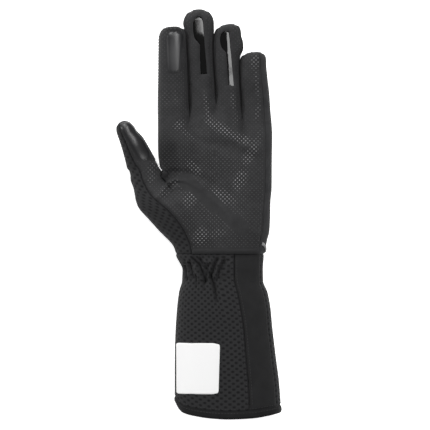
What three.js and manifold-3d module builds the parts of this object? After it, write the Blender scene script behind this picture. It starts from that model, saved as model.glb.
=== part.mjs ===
// Karting glove for the left hand, lying on its back with the palm up.
// Millimetres, +Y towards the fingertips, +Z out of the palm, the thumb at -X.
// The hand is one comb-shaped surface: five digits that run together below their crotches.
// Cloth panels are strips of that surface with a wall, parted by narrow seam gaps.
import * as THREE from 'three';
import Module from 'manifold-3d';

const wasm = await Module();
wasm.setup();

// Driving sizes
const palmWidth = 94.3; // across the palm below the fingers
const palmLength = 112.3; // wrist seam to the knuckle line
const palmDepth = 29; // outer depth of the hand below the fingers
const heelDepth = 36; // outer depth of the hand at the wrist seam
const cuffLength = 134.5; // wrist seam to the lowest point of the hem
const wristWidth = 66; // narrowest width, just below the wrist seam
const wristDepth = 37;
const hemWidth = 87;
const hemDepth = 46;
const hemHeight = 6.4; // turned hem, from its seam to its edge
const suedeWall = 1.2;
const meshWall = 1.6;
const sideWall = 1.2;
const gussetWall = 1.2;
const hemWall = 2.6;
const padWall = 0.8; // glossy grip pads and inserts
const patchWall = 0.6; // blank patch on the cuff
const bandWall = 1.0; // folded band at the lower edge of the suede
const bandHeight = 4.6;
const pipingWidth = 2.4;
const pipingWall = 1.2;
const seamGap = 0.34; // open width of each seam between two pieces
const layerGap = 0.3; // between a piece and the piece it lies on
const flatSink = 1.6; // how far the round back is pressed flat where it rests
const valleyBlend = 24; // length over which the finger grooves fade into the palm
const crotchClosing = 9; // length over which two finger sides come together
const tuckRise = 16; // height above a crotch over which a side strip is tucked under
const fingerGap = 0.36; // open width between two fingers that lie side by side
const sideInset = 5.2; // front seam of the little-finger side, from the outline

// Digits: length from the crotch line to the tip, width and depth at the root, length of
// the rounded tip, lift of the tip off the surface, lean of the axis and slant of the
// tip in degrees, exponent of the tip's rounding, and the angles of the four seams
// round the section, 0 at the right edge and 90 at the middle of the front.
const digits = [
  { name: 'thumb', length: 51.4, width: 27.4, depth: 24, tip: 10.5, lift: 11, lean: -23.4,
    round: 2.3, tipSlant: -6, seamLeft: 118, seamRight: -8, backLeft: 207, backRight: -38 },
  { name: 'index', length: 74.6, width: 26.2, depth: 22, tip: 11.5, lift: 7, lean: -0.6,
    round: 2.7, tipSlant: 2, seamLeft: 188, seamRight: 30, backLeft: 222, backRight: -30 },
  { name: 'middle', length: 83.6, width: 21.7, depth: 21.5, tip: 12.5, lift: 9, lean: -2.4,
    round: 2.1, tipSlant: 0, seamLeft: 150, seamRight: 30, backLeft: 210, backRight: -30 },
  { name: 'ring', length: 72.3, width: 21.3, depth: 21, tip: 11.5, lift: 8, lean: -0.3,
    round: 2.8, tipSlant: 8, seamLeft: 150, seamRight: 30, backLeft: 210, backRight: -30 },
  { name: 'little', length: 56.2, width: 24, depth: 20, tip: 10.5, lift: 6, lean: -1.8,
    round: 2.9, tipSlant: 3, seamLeft: 150, seamRight: 50, backLeft: 210, backRight: -40 },
];

// Sections of each digit: place along it as a share of its length, left and right
// outline, or the line between two fingers, from its axis as shares of its width.
const digitSections = {
  thumb: [
    { along: 0, left: -0.5, right: 0.5 },
    { along: 0.1, left: -0.43, right: 0.487 },
    { along: 0.18, left: -0.405, right: 0.477 },
    { along: 0.25, left: -0.43, right: 0.462 },
    { along: 0.373, left: -0.396, right: 0.437 },
    { along: 0.633, left: -0.325, right: 0.381 },
    { along: 0.818, left: -0.3, right: 0.276 },
    { along: 1, left: -0.29, right: 0.26 },
  ],
  index: [
    { along: 0, left: -0.497, right: 0.5 },
    { along: 0.24, left: -0.489, right: 0.492 },
    { along: 0.473, left: -0.47, right: 0.478 },
    { along: 0.736, left: -0.452, right: 0.451 },
    { along: 0.846, left: -0.445, right: 0.43 },
    { along: 1, left: -0.44, right: 0.42 },
  ],
  middle: [
    { along: 0, left: -0.5, right: 0.5 },
    { along: 0.182, left: -0.475, right: 0.499 },
    { along: 0.358, left: -0.488, right: 0.494 },
    { along: 0.594, left: -0.496, right: 0.486 },
    { along: 0.711, left: -0.492, right: 0.509 },
    { along: 0.79, left: -0.545, right: 0.535 },
    { along: 0.868, left: -0.59, right: 0.545 },
    { along: 1, left: -0.59, right: 0.545 },
  ],
  ring: [
    { along: 0, left: -0.5, right: 0.5 },
    { along: 0.227, left: -0.511, right: 0.45 },
    { along: 0.431, left: -0.557, right: 0.416 },
    { along: 0.61, left: -0.592, right: 0.42 },
    { along: 0.72, left: -0.602, right: 0.555 },
    { along: 0.771, left: -0.604, right: 0.545 },
    { along: 0.85, left: -0.58, right: 0.47 },
    { along: 1, left: -0.57, right: 0.44 },
  ],
  little: [
    { along: 0, left: -0.5, right: 0.5 },
    { along: 0.321, left: -0.51, right: 0.469 },
    { along: 0.613, left: -0.53, right: 0.419 },
    { along: 0.788, left: -0.53, right: 0.397 },
    { along: 1, left: -0.52, right: 0.39 },
  ],
};

// Depth of a digit along it, as shares of its depth at the root.
const digitDepths = [
  { along: 0, depth: 1 },
  { along: 0.35, depth: 0.93 },
  { along: 0.55, depth: 0.95 },
  { along: 0.8, depth: 0.88 },
  { along: 1, depth: 0.84 },
];

// Crotches between the digits: across as shares of the palm's width from its middle,
// up as shares of its length, their seam heights as shares of the digits' depth,
// and how far the side strip is tucked under there, in millimetres.
const crotches = [
  { name: 'thumb_index', across: -0.4465, up: 0.569, front: 0.86, back: 0.26, tuck: 3.4 },
  { name: 'index_middle', across: -0.2196, up: 1, front: 0.8, back: 0.2, tuck: 1.9 },
  { name: 'middle_ring', across: 0.0109, up: 1.095, front: 0.8, back: 0.2, tuck: 1.9 },
  { name: 'ring_little', across: 0.237, up: 0.978, front: 0.8, back: 0.2, tuck: 1.9 },
];
const thumbRoot = { across: -0.7335, up: 0.533 };
const indexRoot = { across: -0.4978, up: 1 };
const littleRoot = { across: 0.4937, up: 0.978 };

// Where the finger lines end at the wrist seam, and pass the height of the thumb's crotch.
const wristLines = [
  { line: 'thumb_index', across: -0.102 },
  { line: 'index_middle', across: 0.024 },
  { line: 'middle_ring', across: 0.167 },
  { line: 'ring_little', across: 0.28 },
];
const middleLines = [
  { line: 'index_middle', across: -0.208 },
  { line: 'middle_ring', across: 0.028 },
  { line: 'ring_little', across: 0.254 },
];

// Outline of the hand and the suede's seam at the thumb side, as shares of the
// palm's width and length.
const thumbOutline = [
  { up: 0, across: -0.339 },
  { up: 0.044, across: -0.354 },
  { up: 0.175, across: -0.493 },
  { up: 0.248, across: -0.572 },
  { up: 0.343, across: -0.668 },
  { up: 0.394, across: -0.69 },
  { up: 0.467, across: -0.707 },
  { up: 0.533, across: -0.7335 },
];
const littleOutline = [
  { up: 0, across: 0.428 },
  { up: 0.029, across: 0.437 },
  { up: 0.102, across: 0.458 },
  { up: 0.168, across: 0.477 },
  { up: 0.387, across: 0.486 },
  { up: 0.467, across: 0.495 },
  { up: 0.759, across: 0.5 },
  { up: 0.861, across: 0.503 },
  { up: 0.978, across: 0.4937 },
];
const indexOutline = [
  { up: 0.569, across: -0.4465 },
  { up: 0.628, across: -0.485 },
  { up: 0.759, across: -0.495 },
  { up: 1, across: -0.4978 },
];
const suedeSeam = [
  { up: 0, across: -0.198 },
  { up: 0.058, across: -0.207 },
  { up: 0.155, across: -0.253 },
  { up: 0.22, across: -0.299 },
  { up: 0.292, across: -0.369 },
  { up: 0.391, across: -0.485 },
  { up: 0.445, across: -0.541 },
  { up: 0.547, across: -0.612 },
];

// Depth of the hand, as shares of the palm's depth, with the heel's own depth at the wrist.
const handDepths = [
  { up: 0.12, depth: 1.2 },
  { up: 0.33, depth: 1.16 },
  { up: 0.569, depth: 1.08 },
  { up: 0.8, depth: 1 },
  { up: 1.1, depth: 0.92 },
];

// Mounds and creases of the palm: middle, half length and half width as shares of the
// palm's width, turned from +X by an angle in degrees, height as a share of its depth.
const palmForms = [
  { form: 'ball of the thumb', across: -0.36, up: 0.34, length: 0.34, width: 0.19, turn: 128, height: 0.15 },
  { form: 'heel of the hand', across: 0.24, up: 0.26, length: 0.3, width: 0.18, turn: 84, height: 0.07 },
  { form: 'hollow of the palm', across: 0.02, up: 0.5, length: 0.26, width: 0.2, turn: 100, height: -0.11 },
  { form: 'thumb crease', across: -0.4, up: 0.5, length: 0.13, width: 0.03, turn: 100, height: -0.1 },
  { form: 'thumb fold', across: -0.44, up: 0.44, length: 0.1, width: 0.035, turn: 25, height: 0.08 },
  { form: 'index crease', across: -0.3, up: 0.78, length: 0.26, width: 0.05, turn: 42, height: -0.03 },
  { form: 'finger crease', across: 0.18, up: 0.74, length: 0.26, width: 0.05, turn: -22, height: -0.035 },
];

// Cuff sections: down as shares of the cuff's length, left and right outline as shares
// of the hem's width from its middle, depth as a share between wrist and hem.
const cuffSections = [
  { down: 0, left: 0, right: 0, open: 0 },
  { down: 0.1, left: -0.437, right: 0.337, open: 0 },
  { down: 0.165, left: -0.441, right: 0.338, open: 0.05 },
  { down: 0.235, left: -0.47, right: 0.379, open: 0.2 },
  { down: 0.34, left: -0.487, right: 0.407, open: 0.4 },
  { down: 0.46, left: -0.495, right: 0.42, open: 0.55 },
  { down: 0.61, left: -0.5, right: 0.445, open: 0.7 },
  { down: 0.8, left: -0.502, right: 0.48, open: 0.85 },
  { down: 1, left: -0.503, right: 0.504, open: 1 },
];
const cuffMiddle = 0.115; // middle of the hem, as a share of the palm's width
// Reach of the hem along its front and back, as shares of the cuff's length.
const hemReach = [
  { across: -1, reach: 0.905 },
  { across: -0.93, reach: 0.94 },
  { across: -0.84, reach: 0.963 },
  { across: -0.6, reach: 0.982 },
  { across: -0.3, reach: 0.995 },
  { across: 0, reach: 1 },
  { across: 0.45, reach: 0.994 },
  { across: 0.75, reach: 0.98 },
  { across: 1, reach: 0.963 },
];
// Seams of the gusset, down as shares of the cuff's length, across the half width.
const gussetSeams = [
  { down: 0, inner: 0.31, outer: 0.93 },
  { down: 0.1, inner: 0.27, outer: 0.93 },
  { down: 0.235, inner: 0.33, outer: 0.92 },
  { down: 0.5, inner: 0.42, outer: 0.92 },
  { down: 0.8, inner: 0.42, outer: 0.92 },
  { down: 1, inner: 0.41, outer: 0.92 },
];
// Gathers of the wrist: middle across the half width and down the cuff, half length and
// half width as shares of the wrist's width, turn in degrees, height as a share of its depth.
const gathers = [
  { across: -0.86, down: 0.12, length: 0.12, width: 0.035, turn: 74, height: 0.05 },
  { across: -0.66, down: 0.11, length: 0.13, width: 0.035, turn: 100, height: 0.055 },
  { across: -0.5, down: 0.12, length: 0.12, width: 0.032, turn: 66, height: -0.05 },
  { across: -0.36, down: 0.12, length: 0.14, width: 0.035, turn: 104, height: 0.06 },
  { across: -0.18, down: 0.13, length: 0.13, width: 0.032, turn: 68, height: -0.05 },
  { across: -0.03, down: 0.12, length: 0.13, width: 0.035, turn: 100, height: 0.055 },
  { across: 0.12, down: 0.12, length: 0.12, width: 0.03, turn: 76, height: -0.04 },
];

// Blends, as shares of a digit's length unless a comment says otherwise
const thumbSeamAtRoot = 102; // degrees: the thumb's suede seam turns from here to its own angle
const thumbSeamTurn = 0.625;
const rootSlantReach = 0.45; // the section's slant at the root fades over this reach
const tipSlantStart = 0.5;
const tipSlantReach = 0.4;
const tipCentring = 0.6; // how much of the section's offset from the axis is left at the tip
const formFade = 0.5; // the palm's forms fade out over this much of a finger
const formLow = 0.45; // share of the palm's depth where its forms begin on a section
const formRise = 0.3;
const moundSharpness = 1.4;
const gatherSharpness = 1.2;
const wristHold = 0.1; // share of the cuff that keeps the wrist's width
const wristRelease = 0.5;
const squareReach = 0.3; // share of the cuff over which the hand's section becomes the cuff's
const sleeveBackLeft = 196; // degrees: seam of the cuff's front and back at the thumb side

// Exponents of the rounded sections: 2 is an ellipse, more is squarer.
const digitSquare = 2.35;
const handSquare = 2.7;
const cuffSquare = 2.5;

// Numbers of cells
const frontCells = 6;
const sideCells = 2;
const outerCells = 4;
const heelRows = 8;
const knuckleRows = 7;
const fingerRows = 6;
const tipRows = 3;
const cuffRows = 11;
const cuffFrontCells = 18;
const gussetCells = 5;
const cuffBackCells = 16;
const rowCrowding = 1.25; // the cuff's rows lie closer at the gathers
const padCells = { across: 5, along: 8 };
const bandCells = 20;
const patchCells = { across: 9, down: 6 };
const pipingCells = { along: 6, across: 2 };
const cornersPerMillimetre = 2000; // corners closer than this grid are one

const degree = Math.PI / 180;
const clamp = (value, low, high) => Math.min(high, Math.max(low, value));
const mix = (from, to, share) => from + (to - from) * share;
const smooth = (share) => {
  const s = clamp(share, 0, 1);
  return s * s * (3 - 2 * s);
};

// Value of a column between the two rows of a table that lie around a place.
function along(table, key, place, column) {
  let row = 0;
  while (row < table.length - 2 && place > table[row + 1][key]) row += 1;
  const low = table[row];
  const high = table[row + 1];
  const share = clamp((place - low[key]) / (high[key] - low[key]), 0, 1);
  return mix(low[column], high[column], share);
}

const handX = (across) => across * palmWidth;
const handY = (up) => up * palmLength;
const crotchPoint = crotches.map((c) => ({ x: handX(c.across), y: handY(c.up) }));
const thumbPoint = { x: handX(thumbRoot.across), y: handY(thumbRoot.up) };
const indexPoint = { x: handX(indexRoot.across), y: handY(indexRoot.up) };
const littlePoint = { x: handX(littleRoot.across), y: handY(littleRoot.up) };
const lastDigit = digits.length - 1;
const rootRow = (digit) => (digit === 0 ? 1 : 2);
const rootLeft = [thumbPoint, indexPoint, crotchPoint[1], crotchPoint[2], crotchPoint[3]];
const rootRight = [crotchPoint[0], crotchPoint[1], crotchPoint[2], crotchPoint[3], littlePoint];

// Point of a rounded section at an angle, from -1 to 1 each way.
function rounded(angle, square) {
  const c = Math.cos(angle * degree);
  const s = Math.sin(angle * degree);
  const power = 2 / square;
  return { across: Math.sign(c) * Math.abs(c) ** power, out: Math.sign(s) * Math.abs(s) ** power };
}
// Angle on the front of a rounded section at a place across it.
function angleAt(across, square) {
  const a = clamp(across, -1, 1);
  return Math.acos(Math.sign(a) * Math.abs(a) ** (square / 2)) / degree;
}

// A finger line: its place at a row of the hand, row 0 at the wrist seam, 1 at the
// thumb's crotch and 2 at the finger's own crotch.
function fingerLine(index, row) {
  const end = crotchPoint[index];
  const start = { x: handX(wristLines[index].across), y: 0 };
  if (index === 0) return { x: mix(start.x, end.x, row), y: mix(start.y, end.y, row) };
  const middle = { x: handX(middleLines[index - 1].across), y: crotchPoint[0].y };
  const a = ((row - 1) * (row - 2)) / 2;
  const b = -row * (row - 2);
  const c = (row * (row - 1)) / 2;
  const y = row < 1 ? mix(0, middle.y, row) : mix(middle.y, end.y, row - 1);
  return { x: a * start.x + b * middle.x + c * end.x, y };
}
// Height of the outer edges of the hand at a row.
function edgeHeight(side, row) {
  if (side === 'thumb') return mix(0, thumbPoint.y, row);
  const top = side === 'index' ? indexPoint.y : littlePoint.y;
  const middle = crotchPoint[0].y;
  return row < 1 ? mix(0, middle, row) : mix(middle, top, row - 1);
}
// Line on the left or right of a digit in the hand.
function lineLeft(digit, row) {
  if (digit === 0) {
    const y = edgeHeight('thumb', row);
    return { x: handX(along(thumbOutline, 'up', y / palmLength, 'across')), y };
  }
  if (digit === 1 && row >= 1) {
    const y = edgeHeight('index', row);
    return { x: handX(along(indexOutline, 'up', y / palmLength, 'across')), y };
  }
  return fingerLine(digit - 1, row);
}
function lineRight(digit, row) {
  if (digit === lastDigit) {
    const y = edgeHeight('little', row);
    return { x: handX(along(littleOutline, 'up', y / palmLength, 'across')), y };
  }
  return fingerLine(digit, row);
}

function handDepth(y) {
  const up = y / palmLength;
  const body = along(handDepths, 'up', up, 'depth') * palmDepth;
  return mix(heelDepth, body, smooth(up / handDepths[0].up));
}
// Outline of the hand at a height, with the thumb's root or without it.
function handSides(y, row, withThumb) {
  const up = y / palmLength;
  const right = handX(along(littleOutline, 'up', up, 'across'));
  if (withThumb) return { left: handX(along(thumbOutline, 'up', up, 'across')), right };
  const left = row >= 1 ? handX(along(indexOutline, 'up', up, 'across')) : fingerLine(0, row).x;
  return { left, right };
}

// Seam angles of a digit at a place along it.
function digitAngles(digit, place) {
  const d = digits[digit];
  const halfWidth = d.width / 2;
  const insetAngle = angleAt(1 - sideInset / halfWidth, digitSquare);
  return {
    frontLeft: digit === 0 ? mix(thumbSeamAtRoot, d.seamLeft, smooth(place / thumbSeamTurn)) : d.seamLeft,
    frontRight: digit === lastDigit ? insetAngle : d.seamRight,
    backLeft: d.backLeft,
    backRight: d.backRight,
  };
}
// Angle on a section of a lane: front and back lanes run left to right,
// side lanes from the front seam to the back seam.
function laneAngle(lane, share, angles) {
  if (lane === 'front') return mix(angles.frontLeft, angles.frontRight, share);
  if (lane === 'back') return mix(angles.backLeft - 360, angles.backRight, share);
  if (lane === 'right') return mix(angles.frontRight, angles.backRight, share);
  return mix(angles.frontLeft, angles.backLeft, share);
}

// Frame of a digit's section: middle, half width as a vector, half depth.
function digitFrame(digit, row) {
  const d = digits[digit];
  const root = rootRow(digit);
  const left = rootLeft[digit];
  const right = rootRight[digit];
  if (row <= root) {
    const l = lineLeft(digit, row);
    const r = lineRight(digit, row);
    return {
      x: (l.x + r.x) / 2, y: (l.y + r.y) / 2, z: d.depth / 2 - flatSink,
      ax: (r.x - l.x) / 2, ay: (r.y - l.y) / 2, half: d.depth / 2, place: 0,
    };
  }
  const share = row - root;
  const domeStart = 1 - d.tip / d.length;
  const rowsBefore = fingerRows / (fingerRows + tipRows);
  const turn = clamp((share - rowsBefore) / (1 - rowsBefore), 0, 1);
  const place = share < rowsBefore
    ? (share / rowsBefore) * domeStart
    : mix(domeStart, 1, Math.sin((turn * Math.PI) / 2));
  const over = clamp((place - domeStart) / (1 - domeStart), 0, 1);
  const shrink = Math.max(0, 1 - over ** d.round) ** (1 / d.round);
  const table = digitSections[d.name];
  const l = along(table, 'along', place, 'left') * d.width + (digit > 1 ? fingerGap / 2 : 0);
  const gapRight = digit > 0 && digit < 4 ? fingerGap / 2 : 0;
  const r = along(table, 'along', place, 'right') * d.width - gapRight;
  const lean = d.lean * degree;
  const rootSlant = Math.atan2(right.y - left.y, right.x - left.x) / degree + d.lean;
  const slant = mix(rootSlant, 0, smooth(place / rootSlantReach))
    + d.tipSlant * smooth((place - tipSlantStart) / tipSlantReach);
  const turnOut = (slant - d.lean) * degree;
  const widen = 1 / Math.cos(slant * degree);
  const halfWidth = ((r - l) / 2) * shrink * widen;
  const middle = ((l + r) / 2) * mix(1, tipCentring, over);
  const rootX = (left.x + right.x) / 2;
  const rootY = (left.y + right.y) / 2;
  const reach = place * d.length;
  const half = (d.depth / 2) * along(digitDepths, 'along', place, 'depth') * shrink;
  const fullHalf = (d.depth / 2) * along(digitDepths, 'along', place, 'depth');
  const lift = d.lift * place * place * (2 - place);
  return {
    x: rootX + reach * Math.sin(lean) + middle * Math.cos(lean),
    y: rootY + reach * Math.cos(lean) - middle * Math.sin(lean),
    z: fullHalf - flatSink + lift,
    ax: halfWidth * Math.cos(turnOut), ay: halfWidth * Math.sin(turnOut),
    half, place,
  };
}

const depthAtCrotch = crotches.map((c, i) => (digits[i].depth + digits[i + 1].depth) / 2);
const crotchLean = crotches.map((c, i) => ((digits[i].lean + digits[i + 1].lean) / 2) * degree);
// Point where the seams of two digits meet, carried on above the crotch by a rise.
function valleyPoint(index, share, row, rise) {
  const c = crotches[index];
  const root = rootRow(index);
  const onLine = row <= root ? fingerLine(index, row) : crotchPoint[index];
  const high = depthAtCrotch[index];
  return {
    x: onLine.x + rise * Math.sin(crotchLean[index]),
    y: onLine.y + rise * Math.cos(crotchLean[index]),
    z: mix(c.front, c.back, share) * high - flatSink,
  };
}

function shiftTo(point, edge, target, weight) {
  return {
    x: point.x + (target.x - edge.x) * weight,
    y: point.y + (target.y - edge.y) * weight,
    z: point.z + (target.z - edge.z) * weight,
  };
}

function onFrame(frame, angle, square) {
  const p = rounded(angle, square);
  return {
    x: frame.x + frame.ax * p.across,
    y: frame.y + frame.ay * p.across,
    z: frame.z + frame.half * p.out,
  };
}

// Pull of a crotch on one side of a digit: its edge comes to the valley point.
function pulled(point, edgeFront, edgeBack, lane, side, share, index, row, rise, pull) {
  if (pull <= 0) return point;
  const front = valleyPoint(index, 0, row, rise);
  const back = valleyPoint(index, 1, row, rise);
  if (lane === side) {
    const target = valleyPoint(index, share, row, rise);
    return shiftTo(point, point, target, pull);
  }
  if (lane !== 'front' && lane !== 'back') return point;
  const near = side === 'right' ? clamp(2 * share - 1, 0, 1) : clamp(1 - 2 * share, 0, 1);
  const edge = lane === 'front' ? edgeFront : edgeBack;
  const target = lane === 'front' ? front : back;
  return shiftTo(point, edge, target, pull * near * near);
}

// Point of a digit's own tube, drawn to the crotches at its root.
function digitPoint(digit, lane, share, row) {
  const frame = digitFrame(digit, row);
  const angles = digitAngles(digit, frame.place);
  let point = onFrame(frame, laneAngle(lane, share, angles), digitSquare);
  const rise = frame.place * digits[digit].length;
  const pull = 1 - smooth(rise / crotchClosing);
  if (digit < lastDigit) {
    const front = onFrame(frame, angles.frontRight, digitSquare);
    const back = onFrame(frame, angles.backRight, digitSquare);
    point = pulled(point, front, back, lane, 'right', share, digit, row, rise, pull);
  }
  if (digit > 1) {
    const front = onFrame(frame, angles.frontLeft, digitSquare);
    const back = onFrame(frame, angles.backLeft, digitSquare);
    point = pulled(point, front, back, lane, 'left', share, digit - 1, row, rise, pull);
  }
  return point;
}

// Point of the hand's section, with the thumb's root or without it.
function handPoint(digit, lane, share, row, withThumb) {
  const l = lineLeft(digit, row);
  const r = lineRight(digit, row);
  const y = lane === 'left' ? l.y : lane === 'right' ? r.y : mix(l.y, r.y, share);
  const sides = handSides(y, row, withThumb);
  const middle = (sides.left + sides.right) / 2;
  const halfWidth = (sides.right - sides.left) / 2;
  const depth = handDepth(y);
  const frame = { x: middle, y, z: depth / 2 - flatSink, ax: halfWidth, ay: 0, half: depth / 2 };
  const leftAngle = angleAt((l.x - middle) / halfWidth, handSquare);
  const rightAngle = angleAt((r.x - middle) / halfWidth, handSquare);
  const angles = {
    frontLeft: leftAngle, frontRight: rightAngle, backLeft: 360 - leftAngle, backRight: -rightAngle,
  };
  const outerLeft = withThumb ? 0 : 1;
  if (digit === outerLeft) {
    const seamX = handX(along(suedeSeam, 'up', y / palmLength, 'across'));
    angles.frontLeft = withThumb ? angleAt((seamX - middle) / halfWidth, handSquare) : digits[1].seamLeft;
    angles.backLeft = digits[digit].backLeft;
  }
  if (digit === lastDigit) {
    angles.frontRight = angleAt(1 - sideInset / halfWidth, handSquare);
    angles.backRight = digits[lastDigit].backRight;
  }
  let point = onFrame(frame, laneAngle(lane, share, angles), handSquare);
  if (!withThumb && digit === 1) {
    const rise = row >= 1 ? l.y - crotchPoint[0].y : 0;
    const pull = 1 - smooth(rise / crotchClosing);
    const front = onFrame(frame, angles.frontLeft, handSquare);
    const back = onFrame(frame, angles.backLeft, handSquare);
    point = pulled(point, front, back, lane, 'left', share, 0, row, rise, pull);
  }
  return point;
}

// Height that the palm's mounds and creases add at a place of the front.
function palmForm(x, y) {
  let height = 0;
  for (const f of palmForms) {
    const dx = x - handX(f.across);
    const dy = y - handY(f.up);
    const c = Math.cos(f.turn * degree);
    const s = Math.sin(f.turn * degree);
    const u = (dx * c + dy * s) / (f.length * palmWidth);
    const v = (dy * c - dx * s) / (f.width * palmWidth);
    height += f.height * palmDepth * Math.exp(-(u * u + v * v) * moundSharpness);
  }
  return height;
}

// Point of the whole comb surface. Rows: 0 wrist seam, 1 crotch of the thumb,
// 2 crotches of the fingers, 3 fingertips; the thumb's own tip is at row 2.
function combPoint(digit, lane, share, row) {
  const root = rootRow(digit);
  const own = digitPoint(digit, lane, share, row);
  let point = own;
  if (row < root) {
    const l = lineLeft(digit, root).y - lineLeft(digit, row).y;
    const r = lineRight(digit, root).y - lineRight(digit, row).y;
    const below = lane === 'left' ? l : lane === 'right' ? r : mix(l, r, share);
    const hand = handPoint(digit, lane, share, row, digit === 0);
    point = shiftTo(own, own, hand, smooth(below / valleyBlend));
  }
  if (digit > 0 && row < 1) {
    const below = crotchPoint[0].y - point.y;
    const whole = handPoint(digit, lane, share, row, true);
    point = shiftTo(point, point, whole, smooth(below / valleyBlend));
  }
  const fade = row > root ? 1 - smooth((row - root) / formFade) : 1;
  const front = smooth((point.z - formLow * palmDepth) / (formRise * palmDepth));
  const lifted = point.z + palmForm(point.x, point.y) * fade * front;
  return { x: point.x, y: point.y, z: Math.max(0, lifted) };
}

const asVector = (p) => new THREE.Vector3(p.x, p.y, p.z);

// A growing surface of corners shared between neighbouring cells.
function newSurface() {
  return { points: [], cells: [], seen: new Map() };
}
function cornerOf(surface, p) {
  const key = [p.x, p.y, p.z].map((v) => Math.round(v * cornersPerMillimetre)).join(',');
  if (!surface.seen.has(key)) {
    surface.seen.set(key, surface.points.length);
    surface.points.push(new THREE.Vector3(p.x, p.y, p.z));
  }
  return surface.seen.get(key);
}
function addLane(surface, panelAt, pointAt, shares, rows, turned) {
  const grid = rows.map((row) => shares.map((share) => cornerOf(surface, pointAt(share, row))));
  for (let r = 0; r + 1 < rows.length; r += 1) {
    for (let c = 0; c + 1 < shares.length; c += 1) {
      const loop = [grid[r][c], grid[r][c + 1], grid[r + 1][c + 1], grid[r + 1][c]];
      if (turned) loop.reverse();
      const corners = loop.filter((v, i) => v !== loop[(i + 1) % loop.length]);
      if (corners.length > 2) surface.cells.push({ corners, panel: panelAt(c, r) });
    }
  }
}
function steps(count, from = 0, to = 1) {
  return Array.from({ length: count + 1 }, (_, i) => mix(from, to, i / count));
}

function cellNormal(surface, corners) {
  const n = new THREE.Vector3();
  for (let i = 1; i + 1 < corners.length; i += 1) {
    const a = surface.points[corners[0]];
    const u = surface.points[corners[i]].clone().sub(a);
    const v = surface.points[corners[i + 1]].clone().sub(a);
    n.add(u.cross(v));
  }
  return n;
}
function cornerNormals(surface, fixed) {
  const normals = surface.points.map(() => new THREE.Vector3());
  for (const cell of surface.cells) {
    const n = cellNormal(surface, cell.corners).normalize();
    for (const corner of cell.corners) normals[corner].add(n);
  }
  normals.forEach((n) => n.normalize());
  fixed.forEach((normal, corner) => normals[corner].copy(normal).normalize());
  return normals;
}

// Closed body of one panel: the cells of its name, drawn back from its edges by half
// a seam gap and by the corner's tuck, with a wall that goes inwards from the surface.
function panelBody(surface, normals, panel, wall, raise = 0, tuck = new Map()) {
  const cells = surface.cells.filter((cell) => cell.panel === panel);
  const edges = new Map();
  for (const cell of cells) {
    cell.corners.forEach((from, i) => {
      const to = cell.corners[(i + 1) % cell.corners.length];
      if (edges.has(`${to},${from}`)) edges.delete(`${to},${from}`);
      else edges.set(`${from},${to}`, [from, to]);
    });
  }
  const inward = new Map();
  for (const [from, to] of edges.values()) {
    const edge = surface.points[to].clone().sub(surface.points[from]).normalize();
    for (const corner of [from, to]) {
      const pull = normals[corner].clone().cross(edge);
      if (!inward.has(corner)) inward.set(corner, new THREE.Vector3());
      inward.get(corner).add(pull.normalize());
    }
  }
  const used = new Map();
  const outer = [];
  const inner = [];
  const take = (corner) => {
    if (!used.has(corner)) {
      used.set(corner, outer.length);
      const p = surface.points[corner].clone();
      if (inward.has(corner)) p.addScaledVector(inward.get(corner).clone().normalize(), seamGap / 2);
      if (tuck.has(corner)) p.add(tuck.get(corner));
      const top = p.clone().addScaledVector(normals[corner], raise);
      top.z = Math.max(0, top.z);
      outer.push(top);
      inner.push(p.addScaledVector(normals[corner], raise - wall));
    }
    return used.get(corner);
  };
  const faces = [];
  for (const cell of cells) {
    const loop = cell.corners.map(take);
    for (let i = 1; i + 1 < loop.length; i += 1) faces.push([loop[0], loop[i], loop[i + 1]]);
  }
  const count = outer.length;
  const all = [...outer, ...inner];
  const turned = faces.map(([a, b, c]) => [a + count, c + count, b + count]);
  const rim = [];
  for (const [from, to] of edges.values()) {
    const a = used.get(from);
    const b = used.get(to);
    rim.push([b, a, a + count], [b, a + count, b + count]);
  }
  return bodyFrom(all, [...faces, ...turned, ...rim]);
}

function bodyFrom(points, faces) {
  const geometry = new THREE.BufferGeometry();
  const flat = points.flatMap((p) => [p.x, p.y, p.z]);
  geometry.setAttribute('position', new THREE.BufferAttribute(new Float32Array(flat), 3));
  geometry.setIndex(faces.flat());
  return geometry;
}

// Closed body of a patch that lies on, or under, a surface: a grid of places on the
// surface, raised to its outer face and with its own wall.
function patchBody(pointAt, across, down, raise, wall) {
  const step = 0.004;
  const points = [];
  const under = [];
  for (const v of down) {
    for (const u of across) {
      const p = pointAt(u, v);
      const du = pointAt(u + step, v).sub(pointAt(u - step, v));
      const dv = pointAt(u, v + step).sub(pointAt(u, v - step));
      const n = du.cross(dv).normalize();
      points.push(p.clone().addScaledVector(n, raise + wall));
      under.push(p.clone().addScaledVector(n, raise));
    }
  }
  const width = across.length;
  const count = points.length;
  const faces = [];
  const quad = (a, b, c, d) => faces.push([a, b, c], [a, c, d]);
  for (let r = 0; r + 1 < down.length; r += 1) {
    for (let c = 0; c + 1 < width; c += 1) {
      const a = r * width + c;
      quad(a, a + 1, a + width + 1, a + width);
      quad(a + count, a + width + count, a + width + 1 + count, a + 1 + count);
    }
  }
  const rim = [];
  for (let c = 0; c < width; c += 1) rim.push(c);
  for (let r = 1; r < down.length; r += 1) rim.push(r * width + width - 1);
  for (let c = width - 2; c >= 0; c -= 1) rim.push((down.length - 1) * width + c);
  for (let r = down.length - 2; r > 0; r -= 1) rim.push(r * width);
  rim.forEach((a, i) => {
    const b = rim[(i + 1) % rim.length];
    quad(b, a, a + count, b + count);
  });
  return bodyFrom([...points, ...under], faces);
}

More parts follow.
